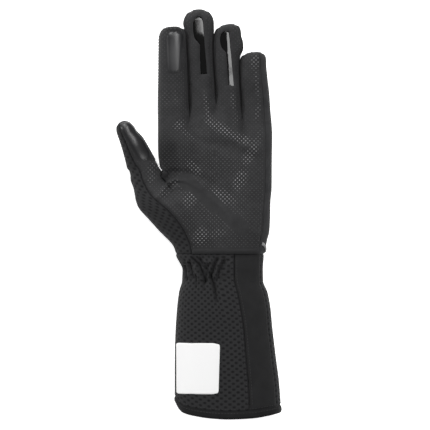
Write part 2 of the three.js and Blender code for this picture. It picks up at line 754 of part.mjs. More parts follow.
// Boolean cuts
function asSolid(geometry) {
  const mesh = new wasm.Mesh({
    numProp: 3,
    vertProperties: geometry.attributes.position.array,
    triVerts: new Uint32Array(geometry.index.array),
  });
  mesh.merge();
  return new wasm.Manifold(mesh);
}
function asGeometry(solid) {
  const mesh = solid.getMesh();
  const geometry = new THREE.BufferGeometry();
  geometry.setAttribute('position', new THREE.BufferAttribute(mesh.vertProperties.slice(), 3));
  geometry.setIndex(Array.from(mesh.triVerts));
  return geometry;
}

// The hand's surface
const comb = newSurface();
const crotchNormals = new Map();
const tucked = new Map();
const fronts = steps(frontCells);
const sides = steps(sideCells);
const outers = steps(outerCells);

function rowsOf(digit) {
  const heel = steps(heelRows);
  const knuckle = steps(knuckleRows, 1, 2).slice(1);
  const root = rootRow(digit);
  const own = steps(fingerRows + tipRows, root, root + 1).slice(1);
  return digit === 0 ? [...heel, ...own] : [...heel, ...knuckle, ...own];
}
const strips = ['side_thumb_index', 'fourchette_index_middle', 'fourchette_middle_ring',
  'fourchette_ring_little'];
function addDigit(digit) {
  const root = rootRow(digit);
  const rows = rowsOf(digit);
  const at = (lane) => (share, row) => combPoint(digit, lane, share, row);
  const lastRow = rows.length - 2;
  const sidePanel = (name, cells) => (c, r) => {
    if (r < lastRow) return name;
    return c < cells / 2 ? 'palm_panel' : 'back_panel';
  };
  addLane(comb, () => 'palm_panel', at('front'), fronts, rows, false);
  addLane(comb, () => 'back_panel', at('back'), fronts, rows, true);
  const stripPanel = (name, rowCount) => (c, r) => {
    if (r < rowCount) return name;
    return c < sideCells / 2 ? 'palm_panel' : 'back_panel';
  };
  if (digit === lastDigit) {
    addLane(comb, sidePanel('little_outer_side', outerCells), at('right'), outers, rows, false);
  } else {
    const above = rows.filter((row) => row >= root);
    addLane(comb, stripPanel(strips[digit], above.length - 2), at('right'), sides, above, false);
  }
  if (digit === 0) {
    addLane(comb, sidePanel('thumb_side', outerCells), at('left'), outers, rows, true);
  } else {
    const above = rows.filter((row) => row >= rootRow(digit - 1));
    addLane(comb, stripPanel(strips[digit - 1], above.length - 2), at('left'), sides, above, true);
  }
}
digits.forEach((d, digit) => addDigit(digit));

// Close above a crotch the side strips are tucked in below the walls beside them.
function tuckSide(digit, lane) {
  const crotch = lane === 'right' ? digit : digit - 1;
  const root = rootRow(crotch);
  for (const row of rowsOf(digit)) {
    if (row < root) continue;
    for (const share of [0, 1]) {
      const p = asVector(combPoint(digit, lane, share, row));
      const middle = asVector(combPoint(digit, lane, 0.5, row));
      const rise = p.y - crotchPoint[crotch].y;
      const tuck = crotches[crotch].tuck * (1 - smooth(rise / tuckRise));
      if (tuck > 0) tucked.set(cornerOf(comb, p), middle.sub(p).setLength(tuck));
    }
  }
}
digits.forEach((d, digit) => {
  if (digit < lastDigit) tuckSide(digit, 'right');
  if (digit > 0) tuckSide(digit, 'left');
});

// At a crotch the walls fold back, so their inner side lies straight below.
crotches.forEach((c, index) => {
  const root = rootRow(index);
  const up = new THREE.Vector3(Math.sin(crotchLean[index]), Math.cos(crotchLean[index]), 0);
  sides.forEach((share, i) => {
    const corner = cornerOf(comb, combPoint(index, 'right', share, root));
    const out = Math.sign(sideCells / 2 - i) * (i % sideCells === 0 ? 1 : 0);
    crotchNormals.set(corner, up.clone().add(new THREE.Vector3(0, 0, out)));
  });
});
const combNormals = cornerNormals(comb, crotchNormals);
const handPanels = [
  { name: 'palm_panel', wall: suedeWall },
  { name: 'back_panel', wall: meshWall },
  { name: 'thumb_side', wall: meshWall },
  { name: 'side_thumb_index', wall: sideWall },
  { name: 'fourchette_index_middle', wall: sideWall },
  { name: 'fourchette_middle_ring', wall: sideWall },
  { name: 'fourchette_ring_little', wall: sideWall },
  { name: 'little_outer_side', wall: sideWall },
];
const bodies = new Map();
for (const panel of handPanels) {
  const isStrip = panel.name.startsWith('fourchette') || panel.name === 'side_thumb_index';
  const tuck = isStrip ? tucked : new Map();
  bodies.set(panel.name, panelBody(comb, combNormals, panel.name, panel.wall, 0, tuck));
}

// The cuff
function cuffFrame(down) {
  const top = handSides(0, 0, true);
  const at = (column) => along(cuffSections, 'down', down, column);
  const middle = cuffMiddle * palmWidth;
  const depth = mix(wristDepth, hemDepth, at('open'));
  const grown = smooth(down / cuffSections[1].down);
  const section = Math.max(down, cuffSections[1].down);
  const narrow = wristWidth / (hemWidth * (cuffSections[1].right - cuffSections[1].left));
  const fit = mix(narrow, 1, smooth((down - wristHold) / wristRelease));
  const low = along(cuffSections, 'down', section, 'left') * hemWidth * fit + middle;
  const high = along(cuffSections, 'down', section, 'right') * hemWidth * fit + middle;
  const left = mix(top.left, low, grown);
  const right = mix(top.right, high, grown);
  const half = mix(heelDepth, depth, grown) / 2;
  return { x: (left + right) / 2, ax: (right - left) / 2, half, z: half - flatSink };
}
function gatherHeight(across, down) {
  let height = 0;
  for (const g of gathers) {
    const dx = (across - g.across) * (wristWidth / 2);
    const dy = -(down - g.down) * cuffLength;
    const c = Math.cos(g.turn * degree);
    const s = Math.sin(g.turn * degree);
    const u = (dx * c + dy * s) / (g.length * wristWidth);
    const v = (dy * c - dx * s) / (g.width * wristWidth);
    height += g.height * wristDepth * Math.exp(-(u * u + v * v) * gatherSharpness);
  }
  return height;
}
function cuffPoint(angle, down) {
  const frame = cuffFrame(down);
  const p = rounded(angle, mix(handSquare, cuffSquare, smooth(down / squareReach)));
  const reach = along(hemReach, 'across', p.across, 'reach');
  const y = -down * cuffLength * mix(1, reach, smooth(down));
  const fold = gatherHeight(p.across, down) * smooth(2 * p.out);
  const z = frame.z + frame.half * p.out + fold;
  return new THREE.Vector3(frame.x + frame.ax * p.across, y, Math.max(0, z));
}
const cuff = newSurface();
const gussetAngle = (down, column) => angleAt(along(gussetSeams, 'down', down, column), cuffSquare);
const hemTop = 1 - hemHeight / cuffLength;
const sleeveRows = steps(cuffRows).map((s) => hemTop * s ** rowCrowding);
const cuffLanes = [
  { panel: 'cuff_front', cells: cuffFrontCells, from: () => sleeveBackLeft,
    to: (d) => gussetAngle(d, 'inner') },
  { panel: 'cuff_gusset', cells: gussetCells, from: (d) => gussetAngle(d, 'inner'),
    to: (d) => gussetAngle(d, 'outer') },
  { panel: 'cuff_back', cells: cuffBackCells, from: (d) => gussetAngle(d, 'outer'),
    to: () => sleeveBackLeft - 360 },
];
for (const lane of cuffLanes) {
  const at = (share, down) => cuffPoint(mix(lane.from(down), lane.to(down), share), down);
  addLane(cuff, () => lane.panel, at, steps(lane.cells), [...sleeveRows].reverse(), false);
  addLane(cuff, () => 'cuff_hem', at, steps(lane.cells), [1, hemTop], false);
}
const cuffNormals = cornerNormals(cuff, new Map());
const cuffPanels = [
  { name: 'cuff_front', wall: meshWall },
  { name: 'cuff_gusset', wall: gussetWall },
  { name: 'cuff_back', wall: meshWall },
  { name: 'cuff_hem', wall: hemWall, raise: (hemWall - meshWall) / 2 },
];
for (const panel of cuffPanels) {
  bodies.set(panel.name, panelBody(cuff, cuffNormals, panel.name, panel.wall, panel.raise));
}

// Pads and inserts on the digits: edges as shares of the digit's width from its axis,
// along it as shares of its length.
function rowAtPlace(digit, place) {
  const d = digits[digit];
  const root = rootRow(digit);
  const domeStart = 1 - d.tip / d.length;
  const rowsBefore = fingerRows / (fingerRows + tipRows);
  if (place <= domeStart) return root + (place / domeStart) * rowsBefore;
  const turn = Math.asin(clamp((place - domeStart) / (1 - domeStart), 0, 1)) / (Math.PI / 2);
  return root + mix(rowsBefore, 1, turn);
}
const frontLimit = 0.97; // share of a digit's half width that a pad may reach
// Place on the front of a digit at a share of its width from the axis.
function digitFront(digit, across, place) {
  const d = digits[digit];
  const row = rowAtPlace(digit, place);
  const frame = digitFrame(digit, row);
  const lean = d.lean * degree;
  const rootX = (rootLeft[digit].x + rootRight[digit].x) / 2;
  const axisX = rootX + place * d.length * Math.sin(lean) - frame.x;
  const reachX = axisX * Math.cos(lean) + across * d.width;
  const widthHere = Math.hypot(frame.ax, frame.ay);
  const angle = angleAt(clamp(reachX / widthHere, -frontLimit, frontLimit), digitSquare);
  const angles = digitAngles(digit, place);
  const share = (angle - angles.frontLeft) / (angles.frontRight - angles.frontLeft);
  return asVector(combPoint(digit, 'front', share, row));
}
function digitPatch(digit, table, raise, wall) {
  const low = table[0].along;
  const high = table[table.length - 1].along;
  const at = (u, v) => {
    const place = mix(low, high, v);
    const left = along(table, 'along', place, 'left');
    const right = along(table, 'along', place, 'right');
    return digitFront(digit, mix(left, right, u), place);
  };
  return patchBody(at, steps(padCells.across), steps(padCells.along), raise, wall);
}
const indexPad = [
  { along: 0.485, left: -0.18, right: 0.26 },
  { along: 0.6, left: -0.19, right: 0.27 },
  { along: 0.86, left: -0.2, right: 0.26 },
  { along: 0.93, left: -0.14, right: 0.22 },
];
const thumbPad = [
  { along: 0.32, left: -0.1, right: 0.22 },
  { along: 0.45, left: -0.14, right: 0.3 },
  { along: 0.72, left: -0.15, right: 0.29 },
  { along: 0.86, left: -0.1, right: 0.18 },
];
bodies.set('index_grip_pad', digitPatch(1, indexPad, layerGap, padWall));
bodies.set('thumb_grip_pad', digitPatch(0, thumbPad, layerGap, padWall));

// Keyhole windows of the middle and ring finger, wide at the tip and narrow below.
const windowMargin = 0.07;
const windows = [
  { name: 'middle', node: 'middle_grip_insert', rows: [
    { along: 0.36, left: 0.03, right: 0.27 },
    { along: 0.5, left: 0, right: 0.26 },
    { along: 0.62, left: -0.03, right: 0.25 },
    { along: 0.7, left: -0.23, right: 0.2 },
    { along: 0.84, left: -0.26, right: 0.17 },
    { along: 0.9, left: -0.16, right: 0.1 },
  ] },
  { name: 'ring', node: 'ring_grip_insert', rows: [
    { along: 0.3, left: 0, right: 0.22 },
    { along: 0.5, left: -0.05, right: 0.16 },
    { along: 0.65, left: -0.12, right: 0.12 },
    { along: 0.72, left: -0.33, right: 0.08 },
    { along: 0.86, left: -0.34, right: 0.03 },
    { along: 0.9, left: -0.26, right: -0.02 },
  ] },
];
const digitNamed = (name) => digits.findIndex((d) => d.name === name);
function windowOutline(w) {
  const digit = digitNamed(w.name);
  const left = w.rows.map((r) => digitFront(digit, r.left, r.along));
  const right = w.rows.map((r) => digitFront(digit, r.right, r.along)).reverse();
  return [...right, ...left].map((p) => new THREE.Vector2(p.x, p.y));
}
let palm = asSolid(bodies.get('palm_panel'));
for (const w of windows) {
  const digit = digitNamed(w.name);
  const depth = digits[digit].depth + digits[digit].lift;
  const prism = new THREE.ExtrudeGeometry(new THREE.Shape(windowOutline(w)), {
    depth, bevelEnabled: false,
  });
  prism.translate(0, 0, digits[digit].depth / 2);
  prism.deleteAttribute('normal');
  prism.deleteAttribute('uv');
  const triangles = Array.from({ length: prism.attributes.position.count }, (_, i) => i);
  prism.setIndex(triangles);
  palm = palm.subtract(asSolid(prism));
  const endMargins = new Map([[0, -windowMargin / 2], [w.rows.length - 1, windowMargin / 3]]);
  const grown = w.rows.map((r, i) => ({
    along: r.along + (endMargins.get(i) ?? 0),
    left: r.left - windowMargin,
    right: r.right + windowMargin,
  }));
  bodies.set(w.node, digitPatch(digit, grown, -suedeWall - layerGap - padWall, padWall));
}
bodies.set('palm_panel', asGeometry(palm));

// Folded band along the lower edge of the suede
const bandTop = bandHeight / handY(crotches[0].up);
function palmLowEdge(u, v) {
  const place = clamp(u, 0, 1) * digits.length;
  const digit = Math.min(lastDigit, Math.floor(place));
  return asVector(combPoint(digit, 'front', place - digit, v));
}
const bandRows = [0.006, bandTop];
const bandInset = 0.012; // share of the band's length left free at each end
const bandSteps = steps(bandCells, bandInset, 1 - bandInset);
bodies.set('palm_hem', patchBody(palmLowEdge, bandSteps, bandRows, layerGap, bandWall));

// Blank patch on the cuff
const patchSides = { left: -0.985, right: -0.13, top: 0.547, low: 0.845 };
function patchPoint(u, v) {
  const down = mix(patchSides.low, patchSides.top, v);
  const from = angleAt(patchSides.left, cuffSquare);
  const to = angleAt(patchSides.right, cuffSquare);
  return cuffPoint(mix(from, to, u), down);
}
const patchGrid = [steps(patchCells.across), steps(patchCells.down)];
bodies.set('name_patch', patchBody(patchPoint, ...patchGrid, layerGap, patchWall));

// Piping end across the outer side, close above the wrist
const pipingSlant = { front: 0.115, back: 0.012, reach: 0.6, end: 0.06 };
function pipingPoint(u, v) {
  const low = mix(pipingSlant.front, pipingSlant.back, smooth(u / pipingSlant.reach));
  const row = low + (v * pipingWidth) / handY(crotches[0].up);
  return asVector(combPoint(lastDigit, 'right', u, row));
}
const pipingAlong = steps(pipingCells.along, pipingSlant.end, 1 - pipingSlant.end);
const pipingAcross = steps(pipingCells.across, pipingSlant.end, 1);
bodies.set('wrist_piping', patchBody(pipingPoint, pipingAlong, pipingAcross, layerGap, pipingWall));

const finishes = {
  palm_panel: { color: 0x343434, roughness: 0.75 },
  back_panel: { color: 0x2c2c2e, roughness: 0.85 },
  thumb_side: { color: 0x2c2c2e, roughness: 0.85 },
  side_thumb_index: { color: 0x303030, roughness: 0.8 },
  fourchette_index_middle: { color: 0x303030, roughness: 0.8 },
  fourchette_middle_ring: { color: 0x303030, roughness: 0.8 },
  fourchette_ring_little: { color: 0x303030, roughness: 0.8 },
  little_outer_side: { color: 0x303030, roughness: 0.8 },
  index_grip_pad: { color: 0x3c3c3c, roughness: 0.3 },
  thumb_grip_pad: { color: 0x3c3c3c, roughness: 0.3 },
  middle_grip_insert: { color: 0x101010, roughness: 0.2 },
  ring_grip_insert: { color: 0x101010, roughness: 0.2 },
  palm_hem: { color: 0x2e2e2e, roughness: 0.8 },
  wrist_piping: { color: 0x9a9a9a, roughness: 0.6 },
  cuff_front: { color: 0x2e2e30, roughness: 0.85 },
  cuff_gusset: { color: 0x2a2a2a, roughness: 0.85 },
  cuff_back: { color: 0x2e2e30, roughness: 0.85 },
  cuff_hem: { color: 0x262626, roughness: 0.85 },
  name_patch: { color: 0xf7f7f7, roughness: 0.6 },
};

// The glove stands on its own middle: the origin is below the middle of its box.
const whole = new THREE.Box3();
for (const geometry of bodies.values()) {
  geometry.computeBoundingBox();
  whole.union(geometry.boundingBox);
}
const group = new THREE.Group();
for (const [name, finish] of Object.entries(finishes)) {
  const mesh = new THREE.Mesh(bodies.get(name), new THREE.MeshStandardMaterial({ ...finish, metalness: 0 }));
  mesh.name = name;
  group.add(mesh);
}
group.position.set(-(whole.min.x + whole.max.x) / 2, -(whole.min.y + whole.max.y) / 2, -whole.min.z);

export default group;
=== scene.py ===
# %% [markdown]
# # A karting glove, palm up
# The glove lies on its back, filled as if a hand were in it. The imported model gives
# every panel its place. This file gives each panel its finished look: brushed suede with
# small grip dots, knitted mesh, gathers at the wrist, glossy grips and stitched seams.
# Everything is worked out with numpy as functions of two parameters, so one change of a
# size moves all that depends on it.

# %% The frame
import math
import bpy
import numpy as np
from mathutils import Matrix


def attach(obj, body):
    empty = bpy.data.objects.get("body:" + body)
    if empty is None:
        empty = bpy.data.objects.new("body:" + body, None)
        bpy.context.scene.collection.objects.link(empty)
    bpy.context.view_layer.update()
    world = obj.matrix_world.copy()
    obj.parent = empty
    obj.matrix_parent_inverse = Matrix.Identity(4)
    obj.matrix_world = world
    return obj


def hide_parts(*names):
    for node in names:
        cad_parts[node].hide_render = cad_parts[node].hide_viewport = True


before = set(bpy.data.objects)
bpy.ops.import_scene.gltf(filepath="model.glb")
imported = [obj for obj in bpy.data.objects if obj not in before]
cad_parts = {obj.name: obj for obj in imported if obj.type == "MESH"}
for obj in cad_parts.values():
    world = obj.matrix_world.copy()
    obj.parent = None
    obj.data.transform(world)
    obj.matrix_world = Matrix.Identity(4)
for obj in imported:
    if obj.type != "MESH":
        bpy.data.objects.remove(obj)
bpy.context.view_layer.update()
print("nodes in the frame:", len(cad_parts))

# %% [markdown]
# The hand is written in millimetres in its own frame: the middle of the palm is X = 0 and
# the wrist seam is Y = 0. The model stands on the middle of its box, so one shift takes
# every point there, and the finished objects stay at the origin. Moving the finished
# objects instead would not do, because a finished object has to sit at the origin.

# %% Frame of the hand
MILLIMETRE = 0.001
HAND_SHIFT = np.array([12.8914, -33.4246, 0.0])
FINE = 0.8
FEWEST_STEPS = 3
TINY, THIN = 1e-9, 1e-6


def mix(a, b, share):
    """A share of the way from a to b."""
    return a + (b - a) * share


def smooth(share):
    """The S-curve 3s^2 - 2s^3 of a share held between 0 and 1."""
    s = np.clip(share, 0, 1)
    return s * s * (3 - 2 * s)


def steps(length, low=0.0, high=1.0, fine=FINE):
    """Even places from low to high, about one fine step apart on a stretch of that length."""
    return np.linspace(low, high, max(FEWEST_STEPS, int(round(length / fine)) + 1))


def vector(x, y, z=0.0):
    """Three arrays as one array of points."""
    return np.stack(np.broadcast_arrays(x, y, z), axis=-1).astype(float)


print("step of the finest grids:", FINE, "mm")

# %% [markdown]
# The outlines of a glove swell and narrow without corners, yet each is known at a few
# places only. A spline object could carry them; a formula works on whole arrays at once.
# The slope of this cubic at a row is the harmonic mean of the slopes beside it, so it never
# swings past a row.

# %% Curves through tables
def curve(places, values, place):
    """Monotone cubic through the table's rows, read at every place of an array."""
    xs, ys = np.asarray(places, float), np.asarray(values, float)
    rise = np.diff(ys) / np.diff(xs)
    same = rise[:-1] * rise[1:] > 0
    inner = np.where(same, 2 * rise[:-1] * rise[1:] / np.where(same, rise[:-1] + rise[1:], 1), 0)
    slope = np.concatenate([rise[:1], inner, rise[-1:]])
    low = np.clip(np.searchsorted(xs, place, side="right") - 1, 0, len(xs) - 2)
    width = xs[low + 1] - xs[low]
    t = np.clip((place - xs[low]) / width, 0, 1)
    start, end = ys[low], ys[low + 1]
    pull = t * (1 - t) * width * ((1 - t) * slope[low] - t * slope[low + 1])
    return mix(start, end, smooth(t)) + pull


print("a table read between its rows:", curve((0, 1, 2), (0, 1, 1), np.array([0.5, 1.5])).round(3))

# %% [markdown]
# A glove finger is a squarish tube, so its section is a superellipse: the exponent 2 is an
# ellipse and a higher one is squarer. The driving sizes come first, then a row for each
# digit: its sizes in millimetres, its lift, lean and slant, and the angles of the four
# seams round it.

# %% Sizes of the hand
PALM_WIDTH, PALM_LENGTH, PALM_DEPTH, HEEL_DEPTH = 94.3, 112.3, 29.0, 36.0
FLAT_SINK, VALLEY_BLEND, CROTCH_CLOSING, TUCK_RISE = 1.6, 24.0, 9.0, 16.0
FINGER_GAP, SIDE_INSET = 0.06, 5.2
DIGIT_SQUARE, HAND_SQUARE, CUFF_SQUARE = 2.35, 2.7, 2.5
STRAIGHT = 2 / 3
STRIP_END = 8 / 9
DIGIT_COLUMNS = ("name", "length", "width", "depth", "tip", "lift", "lean", "round", "slant",
                 "seam_left", "seam_right", "back_left", "back_right")
DIGITS = [dict(zip(DIGIT_COLUMNS, row)) for row in (
    ("thumb", 51.4, 27.4, 24, 10.5, 11, -23.4, 2.3, -6, 118, -8, 207, -38),
    ("index", 74.6, 26.2, 22, 11.5, 7, -0.6, 2.7, 2, 188, 30, 222, -30),
    ("middle", 83.6, 21.7, 21.5, 12.5, 9, -2.4, 2.1, 0, 150, 30, 210, -30),
    ("ring", 72.3, 21.3, 21, 11.5, 8, -0.3, 2.8, 8, 150, 30, 210, -30),
    ("little", 56.2, 24, 20, 10.5, 6, -1.8, 2.9, 3, 150, 50, 210, -40),
)]
LAST = len(DIGITS) - 1
print("digits:", [d["name"] for d in DIGITS])

# %% [markdown]
# Each row of these tables is a height at which an outline turns, as a share of the digit's
# or the palm's length. The values are shares of a named width. Outlines drawn as paths
# would be quicker to make, but a wider palm would not keep its form then.

# %% Outlines of the fingers and the palm
SECTIONS = [
    dict(along=(0, 0.1, 0.18, 0.25, 0.373, 0.633, 0.818, 1),
         left=(-0.5, -0.43, -0.405, -0.43, -0.396, -0.325, -0.3, -0.29),
         right=(0.5, 0.487, 0.477, 0.462, 0.437, 0.381, 0.276, 0.26)),
    dict(along=(0, 0.24, 0.473, 0.736, 0.846, 1),
         left=(-0.497, -0.489, -0.47, -0.452, -0.445, -0.44),
         right=(0.5, 0.492, 0.478, 0.451, 0.43, 0.42)),
    dict(along=(0, 0.182, 0.358, 0.594, 0.711, 0.79, 0.868, 1),
         left=(-0.5, -0.475, -0.488, -0.496, -0.492, -0.545, -0.59, -0.59),
         right=(0.5, 0.499, 0.494, 0.486, 0.509, 0.535, 0.545, 0.545)),
    dict(along=(0, 0.227, 0.431, 0.61, 0.72, 0.771, 0.85, 1),
         left=(-0.5, -0.511, -0.557, -0.592, -0.602, -0.604, -0.58, -0.57),
         right=(0.5, 0.45, 0.416, 0.42, 0.555, 0.545, 0.47, 0.44)),
    dict(along=(0, 0.321, 0.613, 0.788, 1),
         left=(-0.5, -0.51, -0.53, -0.53, -0.52),
         right=(0.5, 0.469, 0.419, 0.397, 0.39)),
]
DEPTH_ALONG = dict(along=(0, 0.35, 0.55, 0.8, 1), depth=(1, 0.93, 0.95, 0.88, 0.84))
CROTCHES = dict(across=(-0.4465, -0.2196, 0.0109, 0.237), up=(0.569, 1, 1.095, 0.978),
                front=(0.86, 0.8, 0.8, 0.8), back=(0.26, 0.2, 0.2, 0.2), tuck=(3.4, 1.9, 1.9, 1.9))
WRIST_LINES = (-0.102, 0.024, 0.167, 0.28)
MIDDLE_LINES = (-0.208, 0.028, 0.254)
THUMB_OUTLINE = dict(up=(0, 0.044, 0.175, 0.248, 0.343, 0.394, 0.467, 0.533),
                     across=(-0.339, -0.354, -0.493, -0.572, -0.668, -0.69, -0.707, -0.7335))
LITTLE_OUTLINE = dict(up=(0, 0.029, 0.102, 0.168, 0.387, 0.467, 0.759, 0.861, 0.978),
                      across=(0.428, 0.437, 0.458, 0.477, 0.486, 0.495, 0.5, 0.503, 0.4937))
INDEX_OUTLINE = dict(up=(0.569, 0.628, 0.759, 1), across=(-0.4465, -0.485, -0.495, -0.4978))
SUEDE_SEAM = dict(up=(0, 0.058, 0.155, 0.22, 0.292, 0.391, 0.445, 0.547),
                  across=(-0.198, -0.207, -0.253, -0.299, -0.369, -0.485, -0.541, -0.612))
HAND_DEPTHS = dict(up=(0.12, 0.33, 0.569, 0.8, 1.1), depth=(1.2, 1.16, 1.08, 1, 0.92))
print("rows in the tables of the digits:", sum(len(table["along"]) for table in SECTIONS))

# %% [markdown]
# Lines run up the palm between the fingers, and each ends at its crotch. Row 0 is the
# wrist seam, row 1 the thumb's crotch, row 2 the crotches of the fingers and row 3 the
# fingertips. The thumb stops at row 2.

# %% Crotches and roots of the fingers
ROOT_ROW = (1, 2, 2, 2, 2)
CROTCH_XY = np.stack([np.array(CROTCHES["across"]) * PALM_WIDTH,
                      np.array(CROTCHES["up"]) * PALM_LENGTH], axis=1)
THUMB_CROTCH_Y = CROTCH_XY[0][1]


def outline_end(table):
    """The last place of an outline, in millimetres: there the digit's own tube begins."""
    return np.array([table["across"][-1] * PALM_WIDTH, table["up"][-1] * PALM_LENGTH])


THUMB_ROOT, INDEX_ROOT, LITTLE_ROOT = map(outline_end, (THUMB_OUTLINE, INDEX_OUTLINE, LITTLE_OUTLINE))
ROOT_LEFT = (THUMB_ROOT, INDEX_ROOT, CROTCH_XY[1], CROTCH_XY[2], CROTCH_XY[3])
ROOT_RIGHT = (CROTCH_XY[0], CROTCH_XY[1], CROTCH_XY[2], CROTCH_XY[3], LITTLE_ROOT)
print("crotches at", CROTCH_XY.round(1).tolist(), "mm")

# %% [markdown]
# The superellipse is used both ways: from an angle to a place across and out, and from a
# place across back to the angle. The second way is how an edge that is known as the camera
# sees it finds its place on the round surface.

# %% Superellipse
def rounded(angle, square):
    """Superellipse: cosine and sine of the angle, each to the power 2 / exponent."""
    c, s = np.cos(np.radians(angle)), np.sin(np.radians(angle))
    power = 2 / square
    return np.sign(c) * np.abs(c) ** power, np.sign(s) * np.abs(s) ** power


def angle_at(across, square):
    """Angle on the front of the superellipse at a place across it, from -1 to 1."""
    a = np.clip(across, -1, 1)
    return np.degrees(np.arccos(np.sign(a) * np.abs(a) ** (square / 2)))


def outline(table, y):
    """X of an outline at a height: its table read at that share of the palm's length."""
    return curve(table["up"], table["across"], y / PALM_LENGTH) * PALM_WIDTH


print("edge of the suede at the wrist:", outline(SUEDE_SEAM, 0.0).round(1), "mm")

# %% [markdown]
# The panels of a glove meet along lines between the fingers. Each is a parabola here,
# through its places at the wrist seam, at the height of the thumb's crotch and at its own
# crotch. A spline through more places would wander.

# %% Lines between the fingers
def height_of_row(top, row):
    """Y of a row: row 1 is as high as the thumb's crotch, and row 2 is as high as the top."""
    return np.where(row < 1, mix(0, THUMB_CROTCH_Y, row), mix(THUMB_CROTCH_Y, top, row - 1))


def finger_line(index, row):
    """X and Y of the line between two digits: a parabola through its three places."""
    end = CROTCH_XY[index]
    start_x = WRIST_LINES[index] * PALM_WIDTH
    if index == 0:
        return mix(start_x, end[0], row), mix(0, end[1], row)
    x = ((row - 1) * (row - 2) / 2 * start_x - row * (row - 2) * MIDDLE_LINES[index - 1] * PALM_WIDTH
         + row * (row - 1) / 2 * end[0])
    return x, height_of_row(end[1], row)


def edge_line(table, top, row):
    """X and Y on an outer edge: its height runs evenly through the rows."""
    y = height_of_row(top, row)
    return outline(table, y), y


def line_left(digit, row):
    """Left border of a digit's share of the hand."""
    if digit == 0:
        y = mix(0, THUMB_ROOT[1], row)
        return outline(THUMB_OUTLINE, y), y
    x, y = finger_line(digit - 1, row)
    if digit == 1:
        edge_x, edge_y = edge_line(INDEX_OUTLINE, INDEX_ROOT[1], np.maximum(row, 1))
        return np.where(row >= 1, edge_x, x), np.where(row >= 1, edge_y, y)
    return x, y


def line_right(digit, row):
    """Right border of a digit's share of the hand."""
    if digit == LAST:
        return edge_line(LITTLE_OUTLINE, LITTLE_ROOT[1], row)
    return finger_line(digit, row)


print("lines at the thumb's crotch:", [float(finger_line(i, 1.0)[0].round(1)) for i in range(LAST)])

# %% [markdown]
# A view from the front gives no depth. A filled glove is thickest at the heel of the hand
# and thins towards the fingers, so a short table holds the depth as shares of the palm's.

# %% Depth and sides of the hand
def hand_depth(y):
    """Depth of the hand at a height, with the heel's own depth at the wrist."""
    up = y / PALM_LENGTH
    body = curve(HAND_DEPTHS["up"], HAND_DEPTHS["depth"], up) * PALM_DEPTH
    return mix(HEEL_DEPTH, body, smooth(up / HAND_DEPTHS["up"][0]))


def hand_sides(y, row, with_thumb):
    """Left and right outline of the hand at a height."""
    right = outline(LITTLE_OUTLINE, y)
    if with_thumb:
        return outline(THUMB_OUTLINE, y), right
    return np.where(row >= 1, outline(INDEX_OUTLINE, y), finger_line(0, row)[0]), right


print("wrist width:", round(float(outline(LITTLE_OUTLINE, 0.0) - outline(THUMB_OUTLINE, 0.0)), 1), "mm")

# %% [markdown]
# Four seams run up each finger, and between them lie four lanes: front, back, left and
# right. A panel is made of such lanes. Each seam is an angle on the finger's section, so it
# stays on the surface however the finger leans.

# %% Seams round a digit
THUMB_SEAM_ROOT, THUMB_SEAM_TURN = 102, 0.625


def digit_angles(digit, place):
    """Angles of the four seams round a digit at a place along it."""
    d = DIGITS[digit]
    inset = angle_at(1 - SIDE_INSET / (d["width"] / 2), DIGIT_SQUARE)
    left = d["seam_left"]
    if digit == 0:
        left = mix(THUMB_SEAM_ROOT, left, smooth(place / THUMB_SEAM_TURN))
    right = inset if digit == LAST else d["seam_right"]
    return dict(front_left=left, front_right=right, back_left=d["back_left"], back_right=d["back_right"])


def lane_angle(lane, share, a):
    """Angle of a share of a lane. Front and back run left to right, sides front to back."""
    if lane == "front":
        return mix(a["front_left"], a["front_right"], share)
    if lane == "back":
        return mix(a["back_left"] - 360, a["back_right"], share)
    if lane == "right":
        return mix(a["front_right"], a["back_right"], share)
    return mix(a["front_left"], a["back_left"], share)


print("seams of the middle finger in degrees:", digit_angles(2, 0.5))

# %% [markdown]
# Rows crowd towards the fingertip, where the surface closes. A row becomes a share of the
# digit's length by an even part and then a quarter of a sine, so the last rows take even
# steps round the tip. A sphere set on a tube would show a crease there. `row_at` runs the
# same way back.

# %% Rows along a digit
def dome_start(digit):
    """Share of a digit's length at which its rounded tip begins."""
    return 1 - DIGITS[digit]["tip"] / DIGITS[digit]["length"]


def place_at(digit, row):
    """Share of a digit's length at a row: even at first, then as a sine over the tip."""
    share = np.clip(row - ROOT_ROW[digit], 0, 1)
    dome = dome_start(digit)
    turn = np.clip((share - STRAIGHT) / (1 - STRAIGHT), 0, 1)
    return np.where(share < STRAIGHT, share / STRAIGHT * dome, mix(dome, 1, np.sin(turn * math.pi / 2)))


def row_at(digit, place):
    """The row of a digit at a share of its length."""
    dome = dome_start(digit)
    turn = np.arcsin(np.clip((place - dome) / (1 - dome), 0, 1)) / (math.pi / 2)
    return ROOT_ROW[digit] + np.where(place <= dome, place / dome * STRAIGHT, mix(STRAIGHT, 1, turn))


print("half way up the middle finger is row", row_at(2, 0.5).round(2))

# %% [markdown]
# A digit's section has a middle, half its width as a vector, so that it can lean, and half
# its depth. Rings joined by hand would do the same at a few places; this function knows the
# section at every row. Near the tip it shrinks as a superellipse does, which closes the
# fingertip.

# %% Section of a digit
SLANT_REACH, TIP_SLANT_START, TIP_SLANT_REACH, TIP_CENTRING = 0.45, 0.5, 0.4, 0.6
ROOT_BLEND = 0.08


